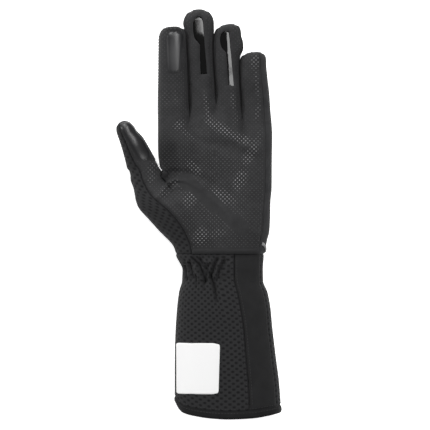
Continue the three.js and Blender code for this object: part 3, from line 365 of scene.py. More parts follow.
def digit_frame(digit, row):
    """Middle, half width vector, half depth and place of a digit's section."""
    d, root = DIGITS[digit], ROOT_ROW[digit]
    row = np.asarray(row, float)
    low = np.minimum(row, root)
    left, right = vector(*line_left(digit, low)), vector(*line_right(digit, low))
    hand_middle, hand_half = (left + right) / 2, (right - left) / 2
    place = place_at(digit, row)
    dome = dome_start(digit)
    over = np.clip((place - dome) / (1 - dome), 0, 1)
    shrink = np.maximum(0, 1 - over ** d["round"]) ** (1 / d["round"])
    table = SECTIONS[digit]
    gap_left = FINGER_GAP / 2 if digit > 1 else 0
    gap_right = FINGER_GAP / 2 if 0 < digit < LAST else 0
    low_side = curve(table["along"], table["left"], place) * d["width"] + gap_left
    high_side = curve(table["along"], table["right"], place) * d["width"] - gap_right
    span = ROOT_RIGHT[digit] - ROOT_LEFT[digit]
    root_slant = math.degrees(math.atan2(span[1], span[0])) + d["lean"]
    slant = (mix(root_slant, 0, smooth(place / SLANT_REACH))
             + d["slant"] * smooth((place - TIP_SLANT_START) / TIP_SLANT_REACH))
    lean, turn = math.radians(d["lean"]), np.radians(slant - d["lean"])
    half_width = (high_side - low_side) / 2 * shrink / np.cos(np.radians(slant))
    offset = (low_side + high_side) / 2 * mix(1, TIP_CENTRING, over)
    origin = (ROOT_LEFT[digit] + ROOT_RIGHT[digit]) / 2
    reach = place * d["length"]
    middle = vector(origin[0] + reach * math.sin(lean) + offset * math.cos(lean),
                    origin[1] + reach * math.cos(lean) - offset * math.sin(lean))
    half = vector(half_width * np.cos(turn), half_width * np.sin(turn))
    own = (smooth(place / ROOT_BLEND) * (row > root))[..., None]
    middle, half = mix(hand_middle, middle, own), mix(hand_half, half, own)
    full = d["depth"] / 2 * curve(DEPTH_ALONG["along"], DEPTH_ALONG["depth"], place)
    middle[..., 2] = full - FLAT_SINK + d["lift"] * place * place * (2 - place)
    return dict(middle=middle, half=half, deep=full * shrink, place=place)


def on_frame(section, angle, square):
    """Point of a section: its middle, plus the superellipse's two parts along its axes."""
    across, out = rounded(angle, square)
    across, out, deep = np.broadcast_arrays(across, out, section["deep"])
    point = section["middle"] + section["half"] * across[..., None]
    point[..., 2] += deep * out
    return point


print("fingertip of the middle finger at", digit_frame(2, np.array([3.0]))["middle"].round(1))

# %% [markdown]
# The suede of a filled glove stands up over the ball of the thumb and sinks in the middle
# of the palm. Sculpting could do that by hand. A sum of turned Gaussian hills does it with
# one row of a table each.

# %% Mounds and creases of the palm
MOUND_SHARPNESS = 1.4
FORM_COLUMNS = ("across", "up", "length", "width", "turn", "height")
PALM_FORMS = [dict(zip(FORM_COLUMNS, row)) for row in (
    (-0.36, 0.34, 0.34, 0.19, 128, 0.15),
    (0.24, 0.26, 0.3, 0.18, 84, 0.07),
    (0.02, 0.5, 0.26, 0.2, 100, -0.11),
    (-0.4, 0.5, 0.13, 0.03, 100, -0.1),
    (-0.44, 0.44, 0.1, 0.035, 25, 0.08),
    (-0.3, 0.78, 0.26, 0.05, 42, -0.03),
    (0.18, 0.74, 0.26, 0.05, -22, -0.035),
)]


def palm_form(x, y):
    """Mounds and creases of the palm: a sum of turned Gaussian hills."""
    height = np.zeros(np.broadcast(x, y).shape)
    for f in PALM_FORMS:
        dx, dy = x - f["across"] * PALM_WIDTH, y - f["up"] * PALM_LENGTH
        c, s = math.cos(math.radians(f["turn"])), math.sin(math.radians(f["turn"]))
        u = (dx * c + dy * s) / (f["length"] * PALM_WIDTH)
        v = (dy * c - dx * s) / (f["width"] * PALM_WIDTH)
        height += f["height"] * PALM_DEPTH * np.exp(-(u * u + v * v) * MOUND_SHARPNESS)
    return height


mound = PALM_FORMS[0]
mound_height = palm_form(mound["across"] * PALM_WIDTH, mound["up"] * PALM_LENGTH)
print("the ball of the thumb rises", mound_height.round(1), "mm")

# %% [markdown]
# Just above a crotch the side strips of two fingers are sewn together, so the edges of two
# neighbouring tubes are pulled to one point there. Two tubes joined by a boolean would
# leave a hard crease and uneven faces instead.

# %% Tubes drawn together at the crotches
def valley_point(index, share, row, rise):
    """The point at which two digits' edges meet, carried on up by a rise."""
    x, y = finger_line(index, np.minimum(row, ROOT_ROW[index]))
    lean = math.radians((DIGITS[index]["lean"] + DIGITS[index + 1]["lean"]) / 2)
    high = (DIGITS[index]["depth"] + DIGITS[index + 1]["depth"]) / 2
    z = mix(CROTCHES["front"][index], CROTCHES["back"][index], share) * high - FLAT_SINK
    return vector(x + rise * math.sin(lean), y + rise * math.cos(lean), z)


def pulled(point, edge_front, edge_back, lane, side, share, index, row, rise, pull):
    """Moves a point towards the crotch: a side lane wholly, front and back near their edge."""
    if lane == side:
        return mix(point, valley_point(index, share, row, rise), pull[..., None])
    if lane not in ("front", "back"):
        return point
    near = np.clip(2 * share - 1 if side == "right" else 1 - 2 * share, 0, 1)
    edge = edge_front if lane == "front" else edge_back
    target = valley_point(index, 0.0 if lane == "front" else 1.0, row, rise)
    return point + (target - edge) * (pull * near * near)[..., None]


def digit_point(digit, lane, share, row):
    """Point of a digit's own tube, drawn to the crotches at its root."""
    section = digit_frame(digit, row)
    angles = digit_angles(digit, section["place"])
    point = on_frame(section, lane_angle(lane, share, angles), DIGIT_SQUARE)
    rise = section["place"] * DIGITS[digit]["length"]
    pull = 1 - smooth(rise / CROTCH_CLOSING)
    for side, index, joins in (("right", digit, digit < LAST), ("left", digit - 1, digit > 1)):
        if joins:
            front = on_frame(section, angles["front_" + side], DIGIT_SQUARE)
            back = on_frame(section, angles["back_" + side], DIGIT_SQUARE)
            point = pulled(point, front, back, lane, side, share, index, row, rise, pull)
    return point


print("root of the middle finger at", digit_point(2, "front", np.array([0.5]), np.array([2.0])).round(1))

# %% [markdown]
# Below the crotches the glove is one flat sack. Its section is a wide superellipse between
# the two outlines, and each digit keeps its own share of it, so the seams run on down
# without a break.

# %% Section of the whole hand
def hand_point(digit, lane, share, row, with_thumb):
    """Point of the whole hand's section, with the thumb's root or without it."""
    left_x, left_y = line_left(digit, row)
    right_x, right_y = line_right(digit, row)
    y = left_y if lane == "left" else right_y if lane == "right" else mix(left_y, right_y, share)
    low, high = hand_sides(y, row, with_thumb)
    middle, half = (low + high) / 2, (high - low) / 2
    deep = hand_depth(y) / 2
    section = dict(middle=vector(middle, y, deep - FLAT_SINK), half=vector(half, 0.0), deep=deep)
    left = angle_at((left_x - middle) / half, HAND_SQUARE)
    right = angle_at((right_x - middle) / half, HAND_SQUARE)
    angles = dict(front_left=left, front_right=right, back_left=360 - left, back_right=-right)
    if digit == (0 if with_thumb else 1):
        seam = angle_at((outline(SUEDE_SEAM, y) - middle) / half, HAND_SQUARE)
        angles["front_left"] = seam if with_thumb else DIGITS[1]["seam_left"]
        angles["back_left"] = DIGITS[digit]["back_left"]
    if digit == LAST:
        angles["front_right"] = angle_at(1 - SIDE_INSET / half, HAND_SQUARE)
        angles["back_right"] = DIGITS[LAST]["back_right"]
    point = on_frame(section, lane_angle(lane, share, angles), HAND_SQUARE)
    if digit == 1 and not with_thumb:
        rise = np.where(row >= 1, left_y - THUMB_CROTCH_Y, 0)
        pull = 1 - smooth(rise / CROTCH_CLOSING)
        front = on_frame(section, angles["front_left"], HAND_SQUARE)
        back = on_frame(section, angles["back_left"], HAND_SQUARE)
        point = pulled(point, front, back, lane, "left", share, 0, row, rise, pull)
    return point


print("middle of the heel at", hand_point(2, "front", 0.5, np.array([0.5]), True).round(1))

# %% [markdown]
# The five tubes run together into one palm: below its crotch each fades into the section of
# the whole hand. Remeshing merged tubes could give such a palm too, but not the same grid
# on every run. So one function covers the whole hand, and every panel is a stretch of it.

# %% One surface for the whole hand
FORM_FADE, FORM_LOW, FORM_RISE = 0.5, 0.45, 0.3


def comb_point(digit, lane, share, row):
    """Point of the hand: a digit's tube that fades into the hand's section below its crotch."""
    share, row = np.broadcast_arrays(np.asarray(share, float), np.asarray(row, float))
    root = ROOT_ROW[digit]
    point = digit_point(digit, lane, share, row)
    below_root = np.minimum(row, root)
    left = line_left(digit, float(root))[1] - line_left(digit, below_root)[1]
    right = line_right(digit, float(root))[1] - line_right(digit, below_root)[1]
    below = left if lane == "left" else right if lane == "right" else mix(left, right, share)
    hand = hand_point(digit, lane, share, below_root, digit == 0)
    point = mix(point, hand, smooth(below / VALLEY_BLEND)[..., None])
    if digit > 0:
        under = np.where(row < 1, THUMB_CROTCH_Y - point[..., 1], 0)
        whole = hand_point(digit, lane, share, np.minimum(row, 1), True)
        point = mix(point, whole, smooth(under / VALLEY_BLEND)[..., None])
    fade = 1 - smooth((row - root) / FORM_FADE)
    front = smooth((point[..., 2] - FORM_LOW * PALM_DEPTH) / (FORM_RISE * PALM_DEPTH))
    point[..., 2] += palm_form(point[..., 0], point[..., 1]) * fade * front
    point[..., 2] = np.maximum(0, point[..., 2])
    return point


print("palm's middle at", comb_point(2, "front", np.array([0.5]), np.array([1.0])).round(1))

# %% [markdown]
# A panel of the glove is cut from flat cloth, and here it is one or more grids of the
# hand's surface. The corners that two grids share are made one, as Merge by Distance would
# do, but on whole arrays.

# %% Grids made one
CORNERS_PER_MILLIMETRE = 200


def grid(points, uv, turned=False, keep=None):
    """A grid of points with its pattern coordinates in millimetres; keep marks its cells."""
    rows, columns = points.shape[:2]
    if keep is None:
        keep = np.ones((rows - 1, columns - 1), bool)
    return dict(points=points, uv=uv, turned=turned, keep=keep)


def joined(grids):
    """Corners, faces and uv of several grids as one mesh: corners at one place are one."""
    points = np.concatenate([g["points"].reshape(-1, 3) for g in grids])
    uv = np.concatenate([g["uv"].reshape(-1, 2) for g in grids])
    faces, start = [], 0
    for g in grids:
        rows, columns = g["points"].shape[:2]
        index = start + np.arange(rows * columns).reshape(rows, columns)
        quads = np.stack([index[:-1, :-1], index[:-1, 1:], index[1:, 1:], index[1:, :-1]], axis=-1)
        quads = quads[g["keep"]]
        faces.append(quads[:, ::-1] if g["turned"] else quads)
        start += rows * columns
    faces = np.concatenate(faces)
    keys = np.round(points * CORNERS_PER_MILLIMETRE).astype(np.int64)
    _, first, same = np.unique(keys, axis=0, return_index=True, return_inverse=True)
    faces = same.reshape(-1)[faces]
    used, faces = np.unique(faces, return_inverse=True)
    faces = faces.reshape(-1, 4)
    return points[first][used], faces, uv[first][used]


print("corners less than", 1 / CORNERS_PER_MILLIMETRE, "mm apart are one")

# %% [markdown]
# A relief moves each corner along its normal, and the wall of the cloth is built at the
# rim. Blender gives both once a mesh is made; worked out from the faces they are known
# before, so a piece is made in one go.

# %% Normals and rim
RIM_BATCH = 64


def unit(vectors):
    """Rows of vectors, each divided by its length."""
    return vectors / np.maximum(np.linalg.norm(vectors, axis=1, keepdims=True), TINY)


def way_along(points, axis):
    """Length from the first point to each point of a line, or of all lines along one axis."""
    step = np.linalg.norm(np.diff(points, axis=axis), axis=-1)
    start = np.zeros_like(np.take(step, [0], axis=axis))
    return np.concatenate([start, np.cumsum(step, axis=axis)], axis=axis)


def corner_normals(points, faces):
    """Unit normals of the corners: the sum of the cross products of the quads' diagonals."""
    across = points[faces[:, 2]] - points[faces[:, 0]]
    along = points[faces[:, 3]] - points[faces[:, 1]]
    normal = np.cross(across, along)
    total = np.zeros_like(points)
    for corner in range(4):
        np.add.at(total, faces[:, corner], normal)
    return unit(total)


def rim_edges(faces):
    """The directed edges that only one face has."""
    edges = np.concatenate([faces[:, [i, (i + 1) % 4]] for i in range(4)])
    edges = edges[edges[:, 0] != edges[:, 1]]
    size = int(edges.max()) + 1
    forward, backward = edges[:, 0] * size + edges[:, 1], edges[:, 1] * size + edges[:, 0]
    return edges[~np.isin(forward, backward)]


def rim_distance(points, rim):
    """Distance of each corner to the nearest corner of the rim."""
    nearest = np.full(len(points), np.inf)
    for start in range(0, len(rim), RIM_BATCH):
        part = rim[start:start + RIM_BATCH]
        nearest = np.minimum(nearest, ((points[:, None] - part[None]) ** 2).sum(-1).min(1))
    return np.sqrt(nearest)


print("corners of the rim compared in one go:", RIM_BATCH)

# %% [markdown]
# This is where numpy meets Blender. `from_pydata` takes the corners and faces, and
# `foreach_set` fills the UV map and the attribute in one call each, far quicker than a
# loop. The place is in the mesh, so the object stays at the origin.

# %% A finished Blender object
SHARP_ANGLE = math.radians(50)


def finished(name, points, faces, uv, material, node=None, amount=None):
    """A Blender object from corners in the hand's millimetres, riding on the glove.

    A quad of which two neighbouring corners are one is written as a triangle."""
    apart = faces != np.roll(faces, 1, axis=1)
    corners = apart.sum(1)
    quads, triangles = faces[corners == 4], faces[corners == 3]
    triangles = triangles[apart[corners == 3]].reshape(-1, 3)
    mesh = bpy.data.meshes.new(name)
    places = (points + HAND_SHIFT) * MILLIMETRE
    mesh.from_pydata(places.tolist(), [], quads.tolist() + triangles.tolist())
    layer = mesh.uv_layers.new(name="cloth")
    corner = np.zeros(len(mesh.loops), np.int32)
    mesh.loops.foreach_get("vertex_index", corner)
    layer.data.foreach_set("uv", uv[corner].astype(np.float32).reshape(-1))
    mesh.polygons.foreach_set("use_smooth", np.ones(len(mesh.polygons), bool))
    mesh.set_sharp_from_angle(angle=SHARP_ANGLE)
    if amount is not None:
        layer = mesh.attributes.new("amount", "FLOAT", "POINT")
        layer.data.foreach_set("value", amount.astype(np.float32))
    mesh.update()
    piece = bpy.data.objects.new(name, mesh)
    bpy.context.scene.collection.objects.link(piece)
    piece.data.materials.append(material)
    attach(piece, "root")
    if node:
        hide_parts(node)
    size = (points.max(0) - points.min(0)).round(1)
    print(name, "faces", len(mesh.polygons), "size", size.tolist(), "mm")
    return piece


print("edges over", round(math.degrees(SHARP_ANGLE)), "degrees stay sharp")

# %% [markdown]
# Sewn cloth rolls in towards its seam, and that edge tells the eye that it is soft.
# Solidify and Bevel modifiers come close, but here the roll follows the distance from the
# rim, and the wall goes inwards only. The rim joins both sides, so the piece is closed.

# %% A closed cloth panel
ROLL_WIDTH, ROLL_DEPTH = 1.9, 0.45


def panel(name, grids, wall, material, relief=None, raised=0.0, roll=ROLL_DEPTH, kind="cloth",
          amount=None):
    """A closed cloth panel: relief and rolled edges on the outside, an even wall inside."""
    points, faces, uv = joined(grids)
    normals = corner_normals(points, faces)
    edges = rim_edges(faces)
    distance = rim_distance(points, points[np.unique(edges)])
    height = raised - roll * (1 - smooth(distance / ROLL_WIDTH))
    if relief is not None:
        height = height + relief(points, normals, uv, distance)
    outer = points + normals * height[:, None]
    outer[:, 2] = np.maximum(outer[:, 2], 0)
    inner = points + normals * (np.minimum(height, 0) + raised - wall)[:, None]
    count = len(points)
    rim = np.stack([edges[:, 1], edges[:, 0], edges[:, 0] + count, edges[:, 1] + count], axis=1)
    every = np.concatenate([faces, faces[:, ::-1] + count, rim])
    amounts = None if amount is None else np.tile(amount(points, distance), 2)
    finished(name + "_" + kind, np.concatenate([outer, inner]), every, np.concatenate([uv, uv]), material,
             name, amounts)
    return dict(points=outer, normals=corner_normals(outer, faces), distance=distance)


print("edges roll in by", ROLL_DEPTH, "mm over", ROLL_WIDTH, "mm")

# %% [markdown]
# Folds of cloth run along lines. A cloth simulation finds them by itself, but elsewhere on
# each change of the shape. A path with a width and a height puts each where it is wanted.

# %% Folds along a path
WIDTH, HEIGHT = 2, 3


def fold_height(points, folds):
    """Height of creases and ridges: a Gaussian of the distance to a path over the path's width.

    A path is rows of X, Y, width and height, and both run evenly from row to row."""
    total = np.zeros(len(points))
    for path in folds:
        nearest, height = np.full(len(points), np.inf), np.zeros(len(points))
        for start, end in zip(np.array(path[:-1]), np.array(path[1:])):
            way = end[:2] - start[:2]
            share = np.clip((points[:, :2] - start[:2]) @ way / (way @ way), 0, 1)
            away = np.linalg.norm(points[:, :2] - start[:2] - share[:, None] * way, axis=1)
            away = away / mix(start[WIDTH], end[WIDTH], share)
            height = np.where(away < nearest, mix(start[HEIGHT], end[HEIGHT], share), height)
            nearest = np.minimum(nearest, away)
        total += height * np.exp(-nearest * nearest)
    return total


RIDGE = ((-10, 0, 1, 2), (10, 0, 1, 2))
print("height on a ridge and beside it:", fold_height(np.array([[0, 0, 0], [0, 1, 0]]), [RIDGE]).round(2))

# %% [markdown]
# Black cloth is never one colour. Each finish below is a few nodes: a base colour with a
# slow unevenness, a fine bump, and its own roughness and sheen. The patterns read the
# piece's UV map, which holds millimetres along the cloth, so they follow the cloth round
# the hand.

# %% Material helpers
def new_material(name, colour, roughness, **values):
    """A material with one Principled shader, its values set on the shader's own sockets."""
    material = bpy.data.materials.new(name)
    material.use_nodes = True
    shader = material.node_tree.nodes["Principled BSDF"]
    shader.inputs["Base Color"].default_value = (*colour, 1)
    shader.inputs["Roughness"].default_value = roughness
    for key, value in values.items():
        shader.inputs[key.replace("_", " ")].default_value = value
    return material, material.node_tree, shader


def node(tree, kind, links=None, **values):
    """A node with its values and the links into its inputs."""
    made = tree.nodes.new(kind)
    for key, value in values.items():
        setattr(made, key, value)
    for key, source in (links or {}).items():
        if isinstance(source, (int, float, tuple)):
            made.inputs[key].default_value = source
        else:
            tree.links.new(source, made.inputs[key])
    return made


def cloth_place(tree):
    """Millimetres along the cloth, from the piece's UV map."""
    return node(tree, "ShaderNodeUVMap", uv_map="cloth").outputs[0]


print("the shaders read the UV map called cloth, in millimetres")

# %% [markdown]
# Cloth is uneven in a slow way and rough in a fine way. An image texture would fix both at
# one size. Noise and waves of a named scale, in cells a millimetre, keep their size on each
# piece.

# %% Patterns
def noise(tree, place, scale, detail=2.0, roughness=0.5):
    """Soft noise of so many cells a millimetre."""
    made = node(tree, "ShaderNodeTexNoise", {"Vector": place, "Scale": scale, "Detail": detail,
                                             "Roughness": roughness})
    return made.outputs["Fac"]


def math_node(tree, operation, first, second=0.0):
    """One arithmetic step."""
    return node(tree, "ShaderNodeMath", {0: first, 1: second}, operation=operation).outputs[0]


def waves(tree, place, scale, distortion, direction):
    """Bands of waves across the cloth, a little unsteady as yarn is."""
    made = node(tree, "ShaderNodeTexWave", {"Vector": place, "Scale": scale, "Distortion": distortion,
                                            "Detail": 1.0}, bands_direction=direction)
    return made.outputs["Fac"]


def between(tree, value, low, high, to_low=0, to_high=1):
    """Maps a value from one range to another, held at both ends."""
    return node(tree, "ShaderNodeMapRange", {"Value": value, "From Min": low, "From Max": high,
                                             "To Min": to_low, "To Max": to_high},
                clamp=True).outputs[0]


print("patterns: noise, waves and a range")

# %% [markdown]
# Part of the shade and light on black cloth lies in its shape: valleys, seams and worn places
# differ a little. Each piece may carry a value for it at every corner, called amount. The
# cloth materials mix two colours by it, mostly as painted shade, the grip dots as a painted
# highlight, and the grip films take a lower roughness by it. Bump is kept for what is finer
# than the mesh, such as yarn and nap.

# %% Colour and bump helpers
FIRST_COLOUR, SECOND_COLOUR, MIXED_COLOUR = 6, 7, 2


def grey(level, blue=None):
    """A grey, with a little more blue in it if a second value is given."""
    return (level, level, level if blue is None else blue)


def amount_of(tree):
    """The piece's own attribute, a number from 0 to 1 at each corner. It is 0 where a piece has none."""
    return node(tree, "ShaderNodeAttribute", attribute_name="amount").outputs["Fac"]


def shade(tree, factor, first, second):
    """Mixes two colours by a factor. The first is a colour or the output of a node."""
    made = node(tree, "ShaderNodeMix", data_type="RGBA")
    tree.links.new(factor, made.inputs["Factor"])
    if isinstance(first, tuple):
        made.inputs[FIRST_COLOUR].default_value = (*first, 1)
    else:
        tree.links.new(first, made.inputs[FIRST_COLOUR])
    made.inputs[SECOND_COLOUR].default_value = (*second, 1)
    return made.outputs[MIXED_COLOUR]


def bump(tree, height, strength, distance):
    """Bump from a height, for what is too fine for the mesh."""
    return node(tree, "ShaderNodeBump", {"Height": height, "Strength": strength,
                                         "Distance": distance}).outputs[0]


print("a grey with a little blue:", grey(0.02, 0.021))

# %% [markdown]
# The suede is brushed, so light comes out soft: a rough surface with low specular and a
# little sheen. An image texture would show its tiling. Slow noise between two greys stands
# for the nap that lies this way and that. Where the amount is high it goes to a darker grey:
# painted shade on the palm, and the folded band's own darker tone.

# %% Brushed suede
# The flat tone is painted shade on the palm, and the folded band's own darker tone.
SUEDE_TONES = dict(dark=grey(0.0155, 0.0162), light=grey(0.0225, 0.0235), flat=grey(0.006, 0.0065))
BLACK = grey(0.02, 0.021)


def suede_material():
    """Brushed suede: soft grey patches, a fine nap, and a darker grey where the amount is high, mostly
    painted shade.
    """
    material, tree, shader = new_material("suede", BLACK, roughness=0.8, Sheen_Weight=0.06,
                                          Sheen_Roughness=0.5, Specular_IOR_Level=0.16)
    place = cloth_place(tree)
    patches = between(tree, noise(tree, place, scale=0.14, detail=4.0, roughness=0.6), low=0.3, high=0.7)
    brushed = shade(tree, patches, SUEDE_TONES["dark"], SUEDE_TONES["light"])
    tree.links.new(shade(tree, amount_of(tree), brushed, SUEDE_TONES["flat"]), shader.inputs["Base Color"])
    nap = noise(tree, place, scale=2.4, detail=4.0, roughness=0.6)
    tree.links.new(bump(tree, nap, strength=0.35, distance=0.0002), shader.inputs["Normal"])
    return material


SUEDE = suede_material()
print("suede tones:", SUEDE_TONES)

# %% [markdown]
# The knitted mesh has small round holes in staggered rows, 3.2 mm apart across the cloth
# and 4.8 mm along it. Holes cut through would need millions of faces. A cosine across times
# a cosine along has its peaks in just that layout. The product colours the holes here and
# presses them into the panels later.

# %% Knitted mesh
HOLE_ACROSS, HOLE_ALONG, HOLE_START, HOLE_END = 3.2, 4.8, 0.0, 0.75
THREAD_HEIGHT = 0.5


def mesh_pattern(tree, place):
    """Staggered holes: the product of a cosine across and a cosine along the cloth."""
    parts = node(tree, "ShaderNodeSeparateXYZ", {"Vector": place})
    turns = zip(parts.outputs, (math.pi / HOLE_ACROSS, 2 * math.pi / HOLE_ALONG))
    across, along = [math_node(tree, "COSINE", math_node(tree, "MULTIPLY", way, turn)) for way, turn in turns]
    return math_node(tree, "MULTIPLY", across, along)


def mesh_material(name, light, dark):
    """Open knit: holes in rows, painted shade in valleys and beside seams where the amount is high, and a
    fuzzy surface.
    """
    material, tree, shader = new_material(name, light, roughness=0.86, Sheen_Weight=0.04, Sheen_Roughness=0.5,
                                          Specular_IOR_Level=0.12)
    place = cloth_place(tree)
    holes = between(tree, mesh_pattern(tree, place), HOLE_START, HOLE_END)
    depth = math_node(tree, "MAXIMUM", holes, amount_of(tree))
    tree.links.new(shade(tree, depth, light, dark), shader.inputs["Base Color"])
    threads = waves(tree, place, scale=0.62, distortion=1.2, direction="DIAGONAL")
    fuzz = math_node(tree, "ADD", math_node(tree, "MULTIPLY", threads, THREAD_HEIGHT),
                     noise(tree, place, scale=3.0))
    relief = math_node(tree, "SUBTRACT", fuzz, holes)
    tree.links.new(bump(tree, relief, strength=0.5, distance=0.0003), shader.inputs["Normal"])
    return material


MESH = mesh_material("back_mesh", grey(0.0178, 0.0187), grey(0.0056, 0.006))
print("one hole in each", round(HOLE_ACROSS * HOLE_ALONG, 1), "square mm")

# %% [markdown]
# The side strips, the gusset, the hem, the piping and the thread differ in tone and in the
# width of their ribs only, so one function makes them all. Ribs this fine would be lost as
# geometry and stay a bump. Where the amount is high, deep between two fingers, the knit is
# painted nearly black as shade.

# %% Fine knits
# The black of the painted shade deep between two fingers.
DEEPEST_SHADE = grey(0.001)


def knit_material(name, light, dark, ribs):
    """Fine knit: small ribs along the cloth, a slow unevenness, and black painted shade where the amount is
    high.
    """
    material, tree, shader = new_material(name, light, roughness=0.85, Sheen_Weight=0.04, Sheen_Roughness=0.5,
                                          Specular_IOR_Level=0.1)
    place = cloth_place(tree)
    patches = between(tree, noise(tree, place, scale=0.12, detail=3.0), low=0.35, high=0.65)
    yarn = shade(tree, patches, dark, light)
    tree.links.new(shade(tree, amount_of(tree), yarn, DEEPEST_SHADE), shader.inputs["Base Color"])
    relief = math_node(tree, "ADD", waves(tree, place, scale=ribs, distortion=0.6, direction="X"),
                       noise(tree, place, scale=2.5))
    tree.links.new(bump(tree, relief, strength=0.3, distance=0.0002), shader.inputs["Normal"])
    return material


SIDE = knit_material("side_knit", grey(0.027, 0.028), grey(0.021, 0.022), ribs=0.9)
GUSSET = knit_material("gusset_knit", grey(0.0137, 0.0142), grey(0.0117, 0.0122), ribs=1.2)
HEM_KNIT = knit_material("hem_knit", grey(0.0098, 0.0102), grey(0.0072, 0.0076), ribs=0.7)
THREAD = knit_material("seam_thread", grey(0.03, 0.031), grey(0.026, 0.027), ribs=1.5)
PIPING = knit_material("piping_grey", grey(0.26), grey(0.2), ribs=1.5)
print("knits:", SIDE.name, GUSSET.name, HEM_KNIT.name, THREAD.name, PIPING.name)

# %% [markdown]
# The grips are a smooth film that mirrors the lights, and roughness decides how wide the
# glow is: low for the deep black inserts, higher for the pads, less at their worn tips. A
# faint wave keeps it from looking like glass.

# %% Grip film, dots and patch
POLISHED = 0.33


def gloss_material(name, colour, roughness, specular):
    """Moulded grip film: slightly wavy, and smoother where the amount is high."""
    material, tree, shader = new_material(name, colour, roughness, Specular_IOR_Level=specular)
    worn = between(tree, amount_of(tree), 0, 1, to_low=roughness, to_high=POLISHED)
    tree.links.new(worn, shader.inputs["Roughness"])
    wavy = noise(tree, cloth_place(tree), scale=0.3, detail=1.0)
    tree.links.new(bump(tree, wavy, strength=0.04, distance=0.0005), shader.inputs["Normal"])
    return material


def dot_material():
    """Silicone dots: dark and glossy, with a painted highlight, a lighter grey, where the amount is high."""
    material, tree, shader = new_material("grip_dots", BLACK, roughness=0.45, Specular_IOR_Level=0.25)
    glint = shade(tree, amount_of(tree), BLACK, grey(0.22, 0.225))
    tree.links.new(glint, shader.inputs["Base Color"])
    return material


def patch_material():
    """Blank printed patch: near white, with a faint grain."""
    material, tree, shader = new_material("patch_white", grey(0.8), roughness=0.6, Specular_IOR_Level=0.2)
    grain = noise(tree, cloth_place(tree), scale=1.6, detail=3.0)
    tree.links.new(shade(tree, grain, grey(0.665), grey(0.69)), shader.inputs["Base Color"])
    return material


PAD = gloss_material("grip_gloss", grey(0.013, 0.014), roughness=0.44, specular=0.44)
INSERT = gloss_material("insert_gloss", grey(0.002), roughness=0.14, specular=0.4)
DOT_FILM, PATCH = dot_material(), patch_material()
print("materials:", len(bpy.data.materials))

# %% [markdown]
# Two keyhole windows are cut in the suede of the middle and ring fingers, and the black
# grip film shows through them. A boolean would cut them with ragged edges on so fine a
# grid. So the two edges of each window are a table of shares, as outlines are.

# %% Windows of the middle and ring finger
WINDOWS = {
    2: dict(along=(0.35, 0.5, 0.635, 0.72, 0.79, 0.85, 0.89, 0.915, 0.93),
            left=(-0.03, -0.03, -0.01, -0.24, -0.263, -0.25, -0.2, -0.13, -0.03),
            right=(0.256, 0.232, 0.205, 0.19, 0.186, 0.182, 0.155, 0.11, 0.03)),
    3: dict(along=(0.295, 0.52, 0.665, 0.745, 0.84, 0.885, 0.91, 0.925),
            left=(-0.01, -0.068, -0.11, -0.315, -0.365, -0.34, -0.27, -0.17),
            right=(0.232, 0.155, 0.112, 0.088, 0.066, 0.052, 0.02, -0.06)),
}
FRONT_LIMIT = 0.97


def share_at(digit, across, place):
    """Share of the front lane at a share of the digit's width from its axis."""
    d = DIGITS[digit]
    section = digit_frame(digit, row_at(digit, place))
    lean = math.radians(d["lean"])
    root_x = (ROOT_LEFT[digit][0] + ROOT_RIGHT[digit][0]) / 2
    axis_x = root_x + place * d["length"] * math.sin(lean) - section["middle"][..., 0]
    reach = axis_x * math.cos(lean) + across * d["width"]
    wide = np.linalg.norm(section["half"], axis=-1)
    across = np.clip(reach / np.maximum(wide, THIN), -FRONT_LIMIT, FRONT_LIMIT)
    angle = angle_at(across, DIGIT_SQUARE)
    a = digit_angles(digit, place)
    return (angle - a["front_left"]) / (a["front_right"] - a["front_left"])


print("windows:", [DIGITS[digit]["name"] for digit in WINDOWS])

# %% [markdown]
# All panels of a finger share one set of rows, closer together at the tip, so that their
# edges meet corner by corner. A seam takes half its gap from each of its two panels, as the
# solids' seams do.

# %% Rows and seam gaps of a panel
SEAM_GAP = 0.34
STRAIGHT_LENGTH, TIP_ROUND, TIP_CROWDING = 0.85, 18.0, 1.35


def digit_rows(digit):
    """Rows from the wrist seam to the tip, closer together where the tip closes."""
    root = ROOT_ROW[digit]
    length = DIGITS[digit]["length"]
    heel = steps(THUMB_CROTCH_Y)
    knuckle = steps(PALM_LENGTH - THUMB_CROTCH_Y, 1, 2)[1:]
    straight = steps(length * STRAIGHT_LENGTH, root, root + STRAIGHT)[1:]
    over = steps(TIP_ROUND)[1:]
    tip = root + mix(STRAIGHT, 1, 1 - (1 - over) ** TIP_CROWDING)
    own = np.concatenate([straight, tip])
    own[np.argmin(np.abs(own - root - STRIP_END))] = root + STRIP_END
    return np.concatenate([heel, own] if digit == 0 else [heel, knuckle, own])


def inset(digit, side, rows, width):
    """Share of a lane that its seam takes: none below the crotch, half a gap above it."""
    crotch = digit if side == "right" else digit - 1
    outer = crotch < 0 or crotch == LAST
    return np.where(outer | (rows > ROOT_ROW[crotch]), SEAM_GAP / 2 / width, 0)


print("rows of the middle finger:", len(digit_rows(2)))

# %% [markdown]
# The weave of cloth runs along the finger, so each grid carries millimetres across and
# along it. Fronts and backs take them straight from above, which keeps the rows of holes in
# line from finger to finger. A narrow side is measured round its own surface instead.

# %% Lanes and fingertips as grids
DIGIT_PATTERN = 30
CAP_WIDTH, CAP_COLUMNS = 10, 9


def lane_grid(digit, lane, shares, rows):
    """A grid of the hand's surface with its millimetres across and along as uv."""
    points = comb_point(digit, lane, shares, rows[:, None])
    if lane in ("front", "back"):
        uv = points[..., :2].copy()
    else:
        uv = np.stack([way_along(points, 1) + DIGIT_PATTERN * digit, points[..., 1]], axis=-1)
    return grid(points, uv, turned=lane in ("back", "left"))


def above_strips(digit, rows):
    """Marks the rows above the end of the side strips."""
    return rows >= ROOT_ROW[digit] + STRIP_END - TINY


